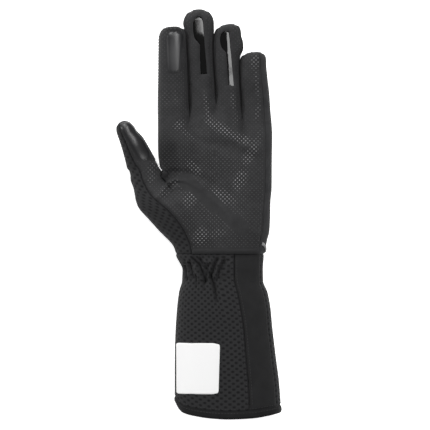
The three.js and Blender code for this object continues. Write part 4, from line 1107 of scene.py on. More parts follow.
def tip_caps(digit, half):
    """The two small side stretches that close a fingertip above the end of the side strips."""
    rows = digit_rows(digit)
    rows = rows[above_strips(digit, rows)]
    gap = SEAM_GAP / 2 / CAP_WIDTH
    low, high = (0, 0.5 - gap) if half == "front" else (0.5 + gap, 1)
    shares = np.linspace(low, high, CAP_COLUMNS)[None, :]
    return [lane_grid(digit, lane, shares, rows) for lane in ("left", "right")]


print("rows of a fingertip's cap:", int(above_strips(2, digit_rows(2)).sum()))

# %% [markdown]
# A finger's front is one grid from the wrist seam to the fingertip. Where it has a window,
# two columns move onto the window's edges and the others follow, so the opening has smooth
# sides without any cutting. The cells between the two are left out.

# %% Fronts and backs of the fingers
WINDOW_CELLS = dict(left=0.3, right=0.7)
ROUND_THE_FRONT = 1.15


def window_columns(digit, rows, columns):
    """Shares and kept cells of a front whose columns are moved onto the edges of its window."""
    window = WINDOWS[digit]
    place = place_at(digit, rows)
    first, last = window["along"][0], window["along"][-1]
    held = np.clip(place, first, last)
    fade = smooth(place / first) * (1 - smooth((place - last) / (1 - last)))
    cells = [int(round(share * (len(columns) - 1))) for share in WINDOW_CELLS.values()]
    edges = [mix(columns[cell], share_at(digit, curve(window["along"], window[side], held), held), fade)
             for cell, side in zip(cells, WINDOW_CELLS)]
    knots = np.stack([np.zeros(len(rows)), *edges, np.ones(len(rows))], axis=1)
    stops = columns[[0, *cells, -1]]
    part = np.clip(np.searchsorted(stops, columns, side="right") - 1, 0, len(cells))
    t = (columns - stops[part]) / (stops[part + 1] - stops[part])
    inside = (place[:-1] >= first) & (place[1:] <= last)
    keep = np.ones((len(rows) - 1, len(columns) - 1), bool)
    keep[np.ix_(inside, np.arange(*cells))] = False
    return mix(knots[:, part], knots[:, part + 1], t[None, :]), keep


def front_grid(digit, lane):
    """The front or back of a digit with its share of the palm, and a window where it has one."""
    rows, width = digit_rows(digit), DIGITS[digit]["width"]
    shares, keep = steps(width * ROUND_THE_FRONT), None
    if lane == "front" and digit in WINDOWS:
        shares, keep = window_columns(digit, rows, shares)
    capped = above_strips(digit, rows)[:, None]
    left_gap, right_gap = (np.where(capped, 0, inset(digit, side, rows, width)[:, None])
                           for side in ("left", "right"))
    shares = left_gap + shares * (1 - left_gap - right_gap)
    made = lane_grid(digit, lane, shares, rows)
    if keep is not None:
        made["keep"] = keep
    return made


def whole_side(half):
    """The grids of the hand's front or back, from the wrist seam to the five fingertips."""
    digits = range(len(DIGITS))
    caps = [cap for digit in digits for cap in tip_caps(digit, half)]
    return [front_grid(digit, half) for digit in digits] + caps


print("a front and two caps for each of", len(DIGITS), "digits")

# %% [markdown]
# The bent thumb draws the suede into long folds towards the palm, and short ones lie in its
# web. Each is a path with its width and height in millimetres. A slow waviness comes on
# top, because cloth that is filled and not stretched is never quite even.

# %% Folds and slack of the suede
PALM_FOLDS = (
    ((-43.5, 50, 1.5, 2.0), (-38.5, 57.5, 1.7, 2.4), (-32, 61, 1.7, 2.3), (-23.5, 60, 2.0, 1.7),
     (-12, 53.5, 2.4, 1.1), (1, 42, 2.6, 0.8), (14, 28, 3.0, 0.4)),
    ((-41.5, 64, 2.6, -1.6), (-35, 67, 3.0, -2.1), (-23.5, 66.5, 3.4, -1.9), (-8, 60.5, 3.4, -1.3),
     (8.5, 47.5, 3.2, -0.5)),
    ((-36.5, 87, 4.0, -0.8), (-39, 70, 4.5, -1.6)),
    ((-38, 69, 9, -1.2), (-26, 70, 12, -2.4), (-12, 66, 11, -1.6), (4, 56, 9, -0.8)),
    ((-20, 97, 3.0, -0.7), (-4, 90, 3.4, -0.8), (14, 89, 3.4, -0.7), (30, 80, 3.0, -0.4)),
    ((-10, 111, 3.0, 0.6), (6, 101, 3.4, 0.8), (22, 94, 3.4, 0.7), (33, 84, 3.0, 0.5)),
    ((-30, 40, 3.0, -0.7), (-22, 28, 3.4, -0.8), (-18, 14, 3.0, -0.5)),
    ((-38, 50, 1.3, -0.8), (-31, 53, 1.3, -0.9), (-24, 51, 1.5, -0.5)),
    ((-46, 68, 1.4, -0.7), (-52, 72, 1.2, -0.4)),
    ((-48, 76, 1.3, -0.7), (-56, 79, 1.2, -0.4)),
    ((39, 32, 1.0, -0.6), (37.5, 12, 1.0, -0.8)),
)
SLACK_WAVES = ((1.7, 0.6, 1.0, 0.0), (-0.8, 1.1, 0.0, 2.0), (0.9, 1.3, -1.0, 4.0))
SLACK = dict(suede=(7.0, 0.1), mesh=(8.0, 0.1), gathered=(8.0, 0.12), strip=(6.0, 0.15), pressed=(6.0, 0.1),
             hem=(5.0, 0.15))


def slack(points, cloth):
    """A slow waviness: the mean of crossing sine waves, with the cloth's own size and height.

    A wave is its turns along X, Y and Z over that size, and its start."""
    size, height = SLACK[cloth]
    waviness = sum(np.sin(points @ np.array(wave[:3]) / size + wave[3]) for wave in SLACK_WAVES)
    return height * waviness / len(SLACK_WAVES)


def palm_relief(points, normals, uv, distance):
    """The folds that the bent thumb makes, and the slack of the suede over the hand."""
    return fold_height(points, PALM_FOLDS) + slack(points, "suede")


print("folds of the palm:", len(PALM_FOLDS))

# %% [markdown]
# In a few places the suede is painted darker as shade, as in the web of the thumb and the
# hollows of the palm. Painting them by hand would not follow a change of the shape. Each is
# a turned patch with soft edges, and together they are the palm's amount. The palm itself
# is then one panel with five fingers.

# %% Palm of suede
PATCH_COLUMNS = ("x", "y", "length", "width", "turn", "strength")
# Patches of painted shade on the suede, one row each.
HOLLOWS = [dict(zip(PATCH_COLUMNS, row)) for row in (
    (-37, 78, 20, 9, 95, 0.85), (-24, 82, 18, 10, 90, 0.4), (26, 8, 20, 10, 0, 0.25),
    (-25, 24, 10, 10, 0, 0.2), (-12, 8, 16, 6, 0, 0.4), (-34, 183.8, 7.5, 2.2, -3, 0.95),
    (21.8, 168.5, 5, 1.7, 100, 0.85),
)]


def patches_at(patches, x, y):
    """The strongest, at each place, of turned patches that are even inside and fade at the edge."""
    best = np.zeros(len(x))
    for p in patches:
        c, s = math.cos(math.radians(p["turn"])), math.sin(math.radians(p["turn"]))
        u = ((x - p["x"]) * c + (y - p["y"]) * s) / p["length"]
        v = ((y - p["y"]) * c - (x - p["x"]) * s) / p["width"]
        best = np.maximum(best, p["strength"] * np.exp(-(u * u + v * v) ** 2))
    return best


def hollow_shade(points, distance):
    """Painted shade: how dark the suede is painted at each corner, from the patches of shade."""
    return patches_at(HOLLOWS, points[:, 0], points[:, 1])


SUEDE_WALL, SUEDE_ROLL = 1.2, 0.6
palm_surface = panel("palm_panel", whole_side("front"), SUEDE_WALL, SUEDE, palm_relief,
                     roll=SUEDE_ROLL, kind="suede", amount=hollow_shade)

# %% [markdown]
# The back of the hand is knitted mesh. The glove lies on it, so it keeps the flat area of
# the solid below. Its holes are pressed in as a real relief, because a bump would look
# smooth along the hand's edge.

# %% Back of mesh
HOLE_DEPTH, HOLE_FREE, MESH_WALL = 0.26, 2.5, 1.6


def hole_relief(uv, distance):
    """The mesh's holes: the same product of cosines as in its colour, and none beside a seam."""
    wave = np.cos(uv[:, 0] * math.pi / HOLE_ACROSS) * np.cos(uv[:, 1] * 2 * math.pi / HOLE_ALONG)
    return -HOLE_DEPTH * smooth((wave - HOLE_START) / (HOLE_END - HOLE_START)) * smooth(distance / HOLE_FREE)


def mesh_relief(points, normals, uv, distance):
    """Holes and slack of the mesh."""
    return hole_relief(uv, distance) + slack(points, "mesh")


panel("back_panel", whole_side("back"), MESH_WALL, MESH, mesh_relief)

# %% [markdown]
# Narrow strips join the front and the back of the fingers. Two of them meet in each crotch,
# where they are tucked in a little, and neighbouring fingers press theirs together, so they
# bulge. A simulation with collisions would find that bulge; a smooth rise is enough,
# because little of it is seen.

# %% Shapes of the narrow sides
SIDE_ROUND, WIDEST_PULL = 16.0, 0.4
STRIP_WALL, STRIP_BULGE, BULGE_REACH = 1.2, 0.42, 3


def side_grid(digit, lane, low_row, tuck=0.0, crotch_row=None):
    """A side lane of a digit from a row up to the end of the strips, tucked in at the crotch."""
    rows = digit_rows(digit)
    end = ROOT_ROW[digit] + STRIP_END
    rows = rows[(rows >= low_row - TINY) & (rows <= end + TINY)]
    points = comb_point(digit, lane, np.array([[0.0, 1.0]]), rows[:, None])
    width = np.linalg.norm(points[:, 1] - points[:, 0], axis=-1)
    pull = np.full(len(rows), SEAM_GAP / 2)
    if crotch_row is not None:
        crotch = digit if lane == "right" else digit - 1
        rise = points[:, 0, 1] - CROTCH_XY[crotch][1]
        pull = pull + tuck * (1 - smooth(rise / TUCK_RISE))
    gap = np.clip(pull / width, 0, WIDEST_PULL)[:, None]
    shares = mix(gap, 1 - gap, steps(SIDE_ROUND)[None, :])
    return lane_grid(digit, lane, shares, rows)


def strip_relief(points, normals, uv, distance):
    """Slack of the side strips and of the gusset."""
    return slack(points, "strip")


def pressed_relief(points, normals, uv, distance):
    """The strips of two neighbouring fingers bulge until they meet."""
    return STRIP_BULGE * smooth(distance / BULGE_REACH) + slack(points, "pressed")


print("the strips bulge by", STRIP_BULGE, "mm")

# %% [markdown]
# Hardly any light reaches deep between two fingers, so the gap reads as a black line.
# Rendered shade alone left it grey, so the knit goes to black with the distance from the
# seam, up to the tip of the shorter finger. The thumb's side is darker beside its seams in
# the same way.

# %% Thumb side and side strips
GAP_START, GAP_DEEP, GAP_FADE = 0.85, 0.5, 14.0
GAP_BEYOND = (0, 0, 0, 20)


def gap_shade(crotch):
    """Painted shade: the knit goes black deep in the gap of two fingers, up to the tip of the shorter one."""
    shorter = min(DIGITS[crotch]["length"], DIGITS[crotch + 1]["length"])
    top = CROTCH_XY[crotch][1] + shorter + GAP_BEYOND[crotch]
    return lambda points, distance: (smooth((distance - GAP_START) / GAP_DEEP)
                                     * smooth((top - points[:, 1]) / GAP_FADE))


SEAM_DARK = 1.1


def seam_shade(points, distance):
    """Dark thread and shade beside the seams of a panel."""
    return 1 - smooth(distance / SEAM_DARK)


panel("thumb_side", [side_grid(0, "left", 0)], MESH_WALL, MESH, mesh_relief,
      amount=seam_shade)
panel("little_outer_side", [side_grid(LAST, "right", 0)], STRIP_WALL, SIDE, strip_relief)
STRIPS = ("side_thumb_index", "fourchette_index_middle", "fourchette_middle_ring",
          "fourchette_ring_little")
for crotch, name in enumerate(STRIPS):
    row = ROOT_ROW[crotch]
    tuck = CROTCHES["tuck"][crotch]
    sides = [side_grid(crotch, "right", row, tuck, row), side_grid(crotch + 1, "left", row, tuck, row)]
    panel(name, sides, STRIP_WALL, SIDE, pressed_relief if crotch else strip_relief,
          amount=gap_shade(crotch) if crotch else None)

# %% [markdown]
# The cuff is a sleeve that widens from the wrist to the hem. Elastic gathers its front just
# below the seam, and a smooth stretch gusset lies at the little-finger side.

# %% Shape of the cuff
CUFF_LENGTH, WRIST_WIDTH, WRIST_DEPTH, HEM_WIDTH, HEM_DEPTH = 134.5, 66.0, 37.0, 87.0, 46.0
HEM_HEIGHT, CUFF_MIDDLE, SLEEVE_BACK_LEFT = 6.4, 0.115, 196
WRIST_HOLD, WRIST_RELEASE, SQUARE_REACH = 0.1, 0.5, 0.3
HEM_TOP = 1 - HEM_HEIGHT / CUFF_LENGTH
CUFF = dict(down=(0, 0.1, 0.165, 0.235, 0.34, 0.46, 0.61, 0.8, 1),
            left=(0, -0.437, -0.441, -0.47, -0.487, -0.495, -0.5, -0.502, -0.503),
            right=(0, 0.337, 0.338, 0.379, 0.407, 0.42, 0.445, 0.48, 0.504),
            open=(0, 0, 0.05, 0.2, 0.4, 0.55, 0.7, 0.85, 1))
HEM_REACH = dict(across=(-1, -0.93, -0.84, -0.6, -0.3, 0, 0.45, 0.75, 1),
                 reach=(0.905, 0.94, 0.963, 0.982, 0.995, 1, 0.994, 0.98, 0.963))
GUSSET_SEAMS = dict(down=(0, 0.1, 0.235, 0.5, 0.8, 1), inner=(0.31, 0.27, 0.33, 0.42, 0.42, 0.41),
                    outer=(0.93, 0.93, 0.92, 0.92, 0.92, 0.92))


print("the hem is", HEM_HEIGHT, "mm high and begins at the share", round(HEM_TOP, 3))

# %% [markdown]
# The sleeve is a flattened tube. Its top has the hand's own section, or a step would show
# at the seam, and it widens down to the hem, whose two corners are drawn up. Lofting
# between rings could give that; one function of the angle and the share of the length gives
# it at any fineness.

# %% Section of the sleeve
def cuff_frame(down):
    """Middle, half width and half depth of the sleeve at a share of its length."""
    top_left, top_right = hand_sides(0.0, 0.0, True)
    middle = CUFF_MIDDLE * PALM_WIDTH
    grown = smooth(down / CUFF["down"][1])
    section = np.maximum(down, CUFF["down"][1])
    narrow = WRIST_WIDTH / (HEM_WIDTH * (CUFF["right"][1] - CUFF["left"][1]))
    fit = HEM_WIDTH * mix(narrow, 1, smooth((down - WRIST_HOLD) / WRIST_RELEASE))
    left = mix(top_left, curve(CUFF["down"][1:], CUFF["left"][1:], section) * fit + middle, grown)
    right = mix(top_right, curve(CUFF["down"][1:], CUFF["right"][1:], section) * fit + middle, grown)
    depth = mix(WRIST_DEPTH, HEM_DEPTH, curve(CUFF["down"], CUFF["open"], down))
    return (left + right) / 2, (right - left) / 2, mix(HEEL_DEPTH, depth, grown) / 2


def cuff_point(angle, down):
    """Point of the sleeve: a superellipse section, its end drawn up at both corners."""
    middle, half, deep = cuff_frame(down)
    across, out = rounded(angle, mix(HAND_SQUARE, CUFF_SQUARE, smooth(down / SQUARE_REACH)))
    reach = curve(HEM_REACH["across"], HEM_REACH["reach"], across)
    y = -down * CUFF_LENGTH * mix(1, reach, smooth(down))
    z = np.maximum(0, deep * (1 + out) - FLAT_SINK)
    return vector(middle + half * across, y, z)


print("the sleeve at the hem is", round(float(2 * cuff_frame(1.0)[1]), 1), "mm wide")

# %% [markdown]
# Three panels go round the sleeve, and their seams are angles on its section. The gusset's
# two seams curve, so they are read from a table, while the seam at the thumb side is
# straight.

# %% Seams of the sleeve
LANE_ROUND = dict(cuff_front=78.0, cuff_gusset=27.0, cuff_back=100.0)
HALF_WAY = 0.5


def gusset_angle(down, column):
    """Angle of a seam of the gusset."""
    return angle_at(curve(GUSSET_SEAMS["down"], GUSSET_SEAMS[column], down), CUFF_SQUARE)


def cuff_grid(start, end, rows, length, fine=FINE):
    """A grid of the sleeve between two seams, with even uv measured half way down it."""
    share = steps(length, 0, 1, fine)
    gap = SEAM_GAP / 2 / length
    inner = mix(gap, 1 - gap, share)[None, :]
    down = rows[:, None]
    points = cuff_point(mix(start(down), end(down), inner), down)
    half_way = np.array([[HALF_WAY]])
    middle = cuff_point(mix(start(half_way), end(half_way), inner), half_way)
    uv = np.stack(np.broadcast_arrays(way_along(middle, 1), -down * CUFF_LENGTH), axis=-1)
    return grid(points, uv.copy())


def left_seam(down):
    """The seam of the sleeve's front and back at the thumb side."""
    return np.full(np.shape(down), float(SLEEVE_BACK_LEFT))


def round_again(down):
    """The same seam once round the sleeve."""
    return left_seam(down) - 360


def inner_seam(down):
    """The seam of the gusset and the sleeve's front."""
    return gusset_angle(down, "inner")


def outer_seam(down):
    """The seam of the gusset and the sleeve's back."""
    return gusset_angle(down, "outer")


SLEEVE_FINE, SLEEVE_PLAIN = 0.62, 0.8
UNDER_PALM, UNDER_HEM, SLEEVE_ROLL = 0.004, 0.002, 0.65
SLEEVE_ROWS = steps(CUFF_LENGTH * HEM_TOP, HEM_TOP + UNDER_HEM, -UNDER_PALM, SLEEVE_FINE)
print("sleeve rows:", len(SLEEVE_ROWS))

# %% [markdown]
# Elastic thread draws the mesh together just below the wrist seam, and the slack cloth
# stands up in narrow folds. A cloth simulation could find such folds, but paths with a
# width and a depth put them where they are wanted, the same on every run.

# %% Gathers at the wrist
GATHERS = (
    ((-25, -10, 1.3, -2.2), (-23, -20.5, 1.3, -1.8)),
    ((-21, -7.5, 1.2, -2.5), (-18, -19.5, 1.2, -1.9)),
    ((-18, -4, 1.2, -2.2), (-12.5, -9.5, 1.3, -3.0), (-8, -22, 1.4, -2.2)),
    ((-12.5, -4, 1.2, -2.4), (-7.5, -12, 1.2, -2.2)),
    ((-5, -9, 1.3, -2.5), (-8, -23, 1.3, -2.1)),
    ((2, -4, 1.3, -2.5), (-1.5, -13, 1.3, -2.8), (-3.5, -19.5, 1.2, -1.9)),
    ((-4, -16.5, 1.4, -2.8), (-0.5, -26, 1.4, -3.2), (1.5, -38.5, 1.2, -1.5)),
    ((7.5, -5.5, 1.3, -2.5), (3.5, -13, 1.3, -2.6), (2, -20.5, 1.2, -1.8)),
    ((-15.5, -18, 1.1, -1.8), (-15.5, -28, 1.1, -1.0)),
    ((-9, -22, 1.0, -1.5), (-9, -29.5, 1.0, -1.0)),
    ((-23, -6.5, 1.5, 1.5), (-21.5, -18, 1.5, 1.0)),
    ((-15.5, -10, 1.6, 1.8), (-13, -20.5, 1.6, 1.1)),
    ((-7.5, -6.5, 1.4, 1.4), (-10, -11.5, 1.4, 1.2)),
    ((-3.5, -6.5, 1.7, 1.8), (-5.5, -18, 1.7, 1.2)),
    ((4.5, -6.5, 1.7, 1.8), (0, -19, 1.7, 1.2)),
    ((11, -5, 1.2, -1.7), (7, -14, 1.2, -1.7), (4.5, -22, 1.2, -0.9)),
    ((-24, -6, 1.1, -1.6), (-21.5, -14, 1.1, -1.5)),
    ((11, -6.5, 1.8, 1.5), (7, -18, 1.8, 1.0)),
)
print("folds and ridges of the gathers:", len(GATHERS))

# %% [markdown]
# The valleys of the gathers are in shade, so the front's amount is the depth of the folds,
# and it paints the mesh there darker as shade. The mesh there is pulled shut, so its holes
# begin below the folds. The sleeve runs a little under the palm's edge and under the hem, so
# that no light shows through the seams.

# %% Sleeve panels
GATHER_LOW, GATHER_CALM, VALLEY_FULL = -18, 8, 3.2
FACING_UP = 0.5


def valley_shade(points, distance):
    """Painted shade, from 0 to 1: how far a corner is down a valley of the gathers, or how near a seam."""
    valley = np.clip(-fold_height(points, GATHERS) / VALLEY_FULL, 0, 1)
    return np.maximum(valley, seam_shade(points, distance))


def front_relief(points, normals, uv, distance):
    """Gathers at the wrist, holes of the mesh and its slack."""
    gathers = fold_height(points, GATHERS) * smooth(normals[:, 2] / FACING_UP)
    calm = smooth((GATHER_LOW - points[:, 1]) / GATHER_CALM)
    return gathers + hole_relief(uv, distance) * calm + slack(points, "gathered")


for name, start, end, wall, material, slot, relief, fine, amount in (
        ("cuff_front", left_seam, inner_seam, MESH_WALL, MESH, "back_mesh", front_relief, SLEEVE_FINE,
         valley_shade),
        ("cuff_gusset", inner_seam, outer_seam, STRIP_WALL, GUSSET, "gusset_knit", strip_relief, SLEEVE_PLAIN,
         None),
        ("cuff_back", outer_seam, round_again, MESH_WALL, MESH, "back_mesh", mesh_relief, SLEEVE_PLAIN,
         None)):
    panel(name, [cuff_grid(start, end, SLEEVE_ROWS, LANE_ROUND[name], fine)], wall, material, relief,
          roll=SLEEVE_ROLL, amount=amount)

# %% [markdown]
# At the open end the cloth is turned over and stitched down, so the hem is thicker and a
# little raised. A squeezed torus would not follow the sleeve. It is the sleeve's own grid
# once round, a closed ring.

# %% Hem
HEM = dict(rows=12, round=215.0, wall=2.6, raised=0.25, roll=0.8)
hem_rows = np.linspace(1, HEM_TOP + SEAM_GAP / 2 / CUFF_LENGTH, HEM["rows"])
full_turn = cuff_grid(left_seam, round_again, hem_rows, HEM["round"])
full_turn["points"][:, -1] = full_turn["points"][:, 0] = cuff_point(left_seam(hem_rows), hem_rows)


def hem_relief(points, normals, uv, distance):
    """Soft folds of the turned hem."""
    return slack(points, "hem")


panel("cuff_hem", [full_turn], HEM["wall"], HEM_KNIT, hem_relief, raised=HEM["raised"],
      roll=HEM["roll"])

# %% [markdown]
# The pads of the index finger and the thumb are moulded films on the cloth, and the inserts
# lie behind the windows. A Shrinkwrap of a flat sheet would slide off the steep sides. So
# each film is a grid of the finger's own surface between two edges, which are shares of its
# width at shares of its length.

# %% Films on a finger
INDEX_PAD = dict(along=(0.49, 0.6, 0.74, 0.89, 0.93), left=(-0.157, -0.168, -0.181, -0.192, -0.15),
                 right=(0.234, 0.25, 0.272, 0.33, 0.29))
THUMB_PAD = dict(along=(0.28, 0.42, 0.56, 0.75, 0.86, 0.965),
                 left=(0.02, -0.02, -0.05, -0.09, -0.11, -0.1),
                 right=(0.33, 0.37, 0.362, 0.275, 0.25, 0.2))
CORNER_ROUNDING, FILM_FINE, FILM_COLUMNS = 7, 0.5, 25


def narrowed(v, rounding):
    """Rounds the ends of a piece: (1 - |v|^n)^(1/n), the width of a superellipse, v from -1 to 1."""
    return (1 - np.abs(v) ** rounding) ** (1 / rounding)


def pad_grid(digit, table, margin=0.0):
    """A grid on a finger's front between the two edges of a table, with rounded ends."""
    low, high = table["along"][0] - margin / 2, table["along"][-1] + margin / 3
    v = -np.cos(steps((high - low) * DIGITS[digit]["length"], 0, 1, FILM_FINE) * math.pi)
    place = mix(low, high, (v + 1) / 2)
    left = curve(table["along"], table["left"], place) - margin
    right = curve(table["along"], table["right"], place) + margin
    middle, half = (left + right) / 2, (right - left) / 2 * narrowed(v, CORNER_ROUNDING)
    across = middle[:, None] + half[:, None] * np.linspace(-1, 1, FILM_COLUMNS)[None, :]
    shares = share_at(digit, across, place[:, None])
    return dict(lane_grid(digit, "front", shares, row_at(digit, place)), place=place, across=across)


print("corners of the index pad:", pad_grid(1, INDEX_PAD)["points"][..., 0].size)

# %% [markdown]
# The inserts catch the light in different ways, and that tells their shapes apart. The
# middle finger's is flat behind the narrow part of its window and softly domed above it.
# The ring finger's has one flat facet that leans to one side, so it mirrors the light as
# one long bright strip.

# %% Inserts behind the windows
WINDOW_MARGIN = 0.07
INSERT_SINK, FLAT_LEAN, FLAT_END, FLAT_FADE = 1.5, 1.2, 0.66, 0.12
DOME_SINK, DOME_SHARE, DOME_LEAN = 0.5, 0.25, 5.5
FACET = dict(along=(0.29, 0.91), edge=(0.017, -0.069), lean=9.5, sink=0.3)


def height_at(digit, across, place):
    """Height of a finger's front at a share of its width and of its length."""
    return comb_point(digit, "front", share_at(digit, across, place), row_at(digit, place))[..., 2]


def middle_insert():
    """Sunk and flat behind the narrow part of its window, softly domed above it."""
    made = pad_grid(2, WINDOWS[2], WINDOW_MARGIN)
    height = made["points"][..., 2]
    top = height.max(axis=1, keepdims=True)
    flat = np.minimum(height, top - INSERT_SINK + (made["across"] - WINDOWS[2]["left"][0]) * FLAT_LEAN)
    lean = math.tan(math.radians(DOME_LEAN)) * made["across"] * DIGITS[2]["width"]
    domed = np.minimum(height, top - DOME_SINK - DOME_SHARE * (top - height) - lean)
    above = smooth((made["place"] - FLAT_END) / FLAT_FADE)[:, None]
    made["points"][..., 2] = mix(flat, domed, above)
    return made


def ring_insert():
    """A flat facet with one lean along the whole window, and the finger's own arc beside it."""
    made = pad_grid(3, WINDOWS[3], WINDOW_MARGIN)
    place, across = made["place"], made["across"]
    edge = curve(FACET["along"], FACET["edge"], place)
    right = curve(WINDOWS[3]["along"], WINDOWS[3]["right"], place) + WINDOW_MARGIN
    pivot = (edge + right) / 2
    drop = math.tan(math.radians(FACET["lean"])) * DIGITS[3]["width"]
    facet = (height_at(3, pivot, place) - FACET["sink"])[:, None] - (across - pivot[:, None]) * drop
    points = made["points"]
    points[..., 2] = np.where(across > edge[:, None], facet, points[..., 2])
    return made


print("height of the middle insert:", middle_insert()["points"][..., 2].max().round(1), "mm")

# %% [markdown]
# Use polishes a grip film first at the very fingertip, and there its glow is narrower and
# brighter, so a pad's amount rises towards the tip. The pads stand proud of the suede, and
# the inserts lie under it.

# %% Pads and inserts
LAYER_GAP, FILM_WALL, PAD_RISE, PAD_ROLL = 0.3, 0.8, 0.5, 0.3
POLISH_FROM, POLISH_OVER = dict(index_grip_pad=164, thumb_grip_pad=72), 16


def tip_polish(name):
    """The pads are smoothest at the fingertip."""
    return lambda points, distance: smooth((points[:, 1] - POLISH_FROM[name]) / POLISH_OVER)


for name, digit, table in (("index_grip_pad", 1, INDEX_PAD), ("thumb_grip_pad", 0, THUMB_PAD)):
    panel(name, [pad_grid(digit, table)], FILM_WALL, PAD, None,
          raised=PAD_RISE, roll=PAD_ROLL, kind="film", amount=tip_polish(name))
for name, made in (("middle_grip_insert", middle_insert()), ("ring_grip_insert", ring_insert())):
    panel(name, [made], FILM_WALL, INSERT, None, raised=-SUEDE_WALL - LAYER_GAP,
          kind="film")

# %% [markdown]
# Small glossy dots are printed on the suede to give it grip. Geometry Nodes could scatter
# an instance on the palm; numpy places all copies of one low dome at once, and the result
# is a plain mesh.

# %% One dot and its copies
DOT = dict(pitch=3.4, radius=0.55, height=0.22, sides=8, shoulder=0.7, shoulder_height=0.75)


def dome(radius, height, sides):
    """A low round dome: rings at its foot and its shoulder, a top corner and a foot corner."""
    turn = np.arange(sides) * 2 * math.pi / sides
    ring = vector(np.cos(turn), np.sin(turn))
    foot = ring * radius
    middle = foot * DOT["shoulder"] + (0, 0, height * DOT["shoulder_height"])
    points = np.concatenate([foot, middle, [[0, 0, height], [0, 0, 0]]])
    here, after = np.arange(sides), np.roll(np.arange(sides), -1)
    top, base = np.full(sides, 2 * sides), np.full(sides, 2 * sides + 1)
    faces = np.concatenate([np.stack([here, after, after + sides, here + sides], axis=1),
                            np.stack([here + sides, after + sides, top, top], axis=1),
                            np.stack([after, here, base, base], axis=1)])
    return points, faces


def copies(shape, centres, along, across, up):
    """Copies of a small shape: centre + x times along + y times across + z times up."""
    points, faces = shape
    x, y, z = (points[None, :, axis:axis + 1] for axis in range(3))
    placed = centres[:, None] + x * along[:, None] + y * across[:, None] + z * up[:, None]
    offsets = np.arange(len(centres))[:, None, None] * len(points)
    return placed.reshape(-1, 3), (faces[None] + offsets).reshape(-1, 4)


print("corners of a dot:", len(dome(DOT["radius"], DOT["height"], DOT["sides"])[0]))

# %% [markdown]
# The dots lie in even rows, with every second row moved by half a pitch. Only places on the
# suede are kept: away from its rim, from steep sides, from the pads and from a bare
# slanting band across the palm.

# %% Places of the dots
LOOKUP_BATCH = 128
LATTICE = dict(left=-75, right=60, low=6, top=200)
DOT_RIM, DOT_STEEP, DOT_REACH, DOT_OFF_PAD = 2.6, 0.45, 0.9, 1.2
BARE_BAND = dict(start=(-25.2, 61.5), end=(23.2, 20.5), width=5.5)


def nearest_corner(places, corners):
    """Index and distance of the corner that is nearest, seen from above, to each place."""
    index, away = np.zeros(len(places), int), np.zeros(len(places))
    for start in range(0, len(places), LOOKUP_BATCH):
        part = slice(start, start + LOOKUP_BATCH)
        square = ((places[part, None] - corners[None]) ** 2).sum(-1)
        index[part], away[part] = square.argmin(1), np.sqrt(square.min(1))
    return index, away


def dot_places():
    """Even rows of the lattice, with every second row moved by half a pitch."""
    columns = np.arange(LATTICE["left"], LATTICE["right"], DOT["pitch"])
    rows = np.arange(LATTICE["low"], LATTICE["top"], DOT["pitch"] / 2)
    x, y = np.meshgrid(columns, rows, indexing="ij")
    odd = np.broadcast_to(np.arange(y.shape[1]) % 2, y.shape)
    return np.stack([(x + odd * DOT["pitch"] / 2).reshape(-1), y.reshape(-1)], axis=1)


def off_pads(places):
    """Marks places that no pad and no bare band covers."""
    free = np.ones(len(places), bool)
    for digit, table in ((1, INDEX_PAD), (0, THUMB_PAD)):
        pad = pad_grid(digit, table)["points"].reshape(-1, 3)[:, :2]
        free &= nearest_corner(places, pad)[1] > DOT_OFF_PAD
    start, end = np.array(BARE_BAND["start"]), np.array(BARE_BAND["end"])
    share = np.clip((places - start) @ (end - start) / ((end - start) @ (end - start)), 0, 1)
    away = np.linalg.norm(places - start - share[:, None] * (end - start), axis=1)
    return free & (away > BARE_BAND["width"])


print("places of the lattice:", len(dot_places()))

# %% [markdown]
# The nearest corner of the palm gives each dot its height and its tilt. The dots' glints are
# painted: each dot carries its own amount, soft patches of painted highlight times a chance
# with a fixed seed, so the tone also differs at random from dot to dot, the same on every
# run.

# %% Grip dots
# Patches of painted highlight on the grip dots.
SHINE = [dict(zip(PATCH_COLUMNS, row)) for row in (
    (-29.5, 106, 5, 3.7, 40, 0.8), (-22, 98.5, 7.4, 2.5, -42, 0.45), (-7, 121.5, 11, 2, -82, 0.55),
    (-4, 109, 6, 4, -60, 0.8), (6, 102.5, 11, 4.5, -35, 1.0), (21.5, 94.5, 11, 3.7, -22, 1.0),
    (32, 88.5, 6, 3, -75, 0.8), (27.5, 79, 7.5, 4.5, 60, 0.8), (20.5, 60.5, 9, 5, 62, 1.0),
    (7, 47.5, 11.5, 5, -36, 0.95), (-20, 45.5, 7.5, 5.7, 60, 0.8), (-17, 70.5, 9, 3.8, -45, 0.75),
    (-11, 15, 7.5, 6, 70, 0.9), (2, 17, 8, 4, 10, 0.45), (15, 125.5, 8, 2, -85, 0.45),
    (33.5, 157.5, 6, 4, 80, 0.7), (34.5, 139.5, 11, 1.6, -84, 0.5), (35, 116.5, 7.5, 2, 80, 0.45),
    (-40, 128, 7.5, 4, 90, 0.12), (-32, 128, 8, 1.6, -86, 0.2), (18, 111.5, 6.5, 3.3, 60, 0.3),
    (35.5, 93.5, 7.5, 2.5, 80, 0.3), (-50, 72, 8, 4, 60, 0.35), (-52, 62, 8, 3, 60, 0.3),
    (-2, 52, 36, 46, 0, 0.13), (-30, 135, 8, 24, 0, 0.05), (-40, 52, 6, 4.5, 40, 0.6),
    (-34, 58, 6, 3, 10, 0.6),
)]
CHANCE = dict(seed=4, low=0.55, high=1.15)
DOT_SINK = 0.05


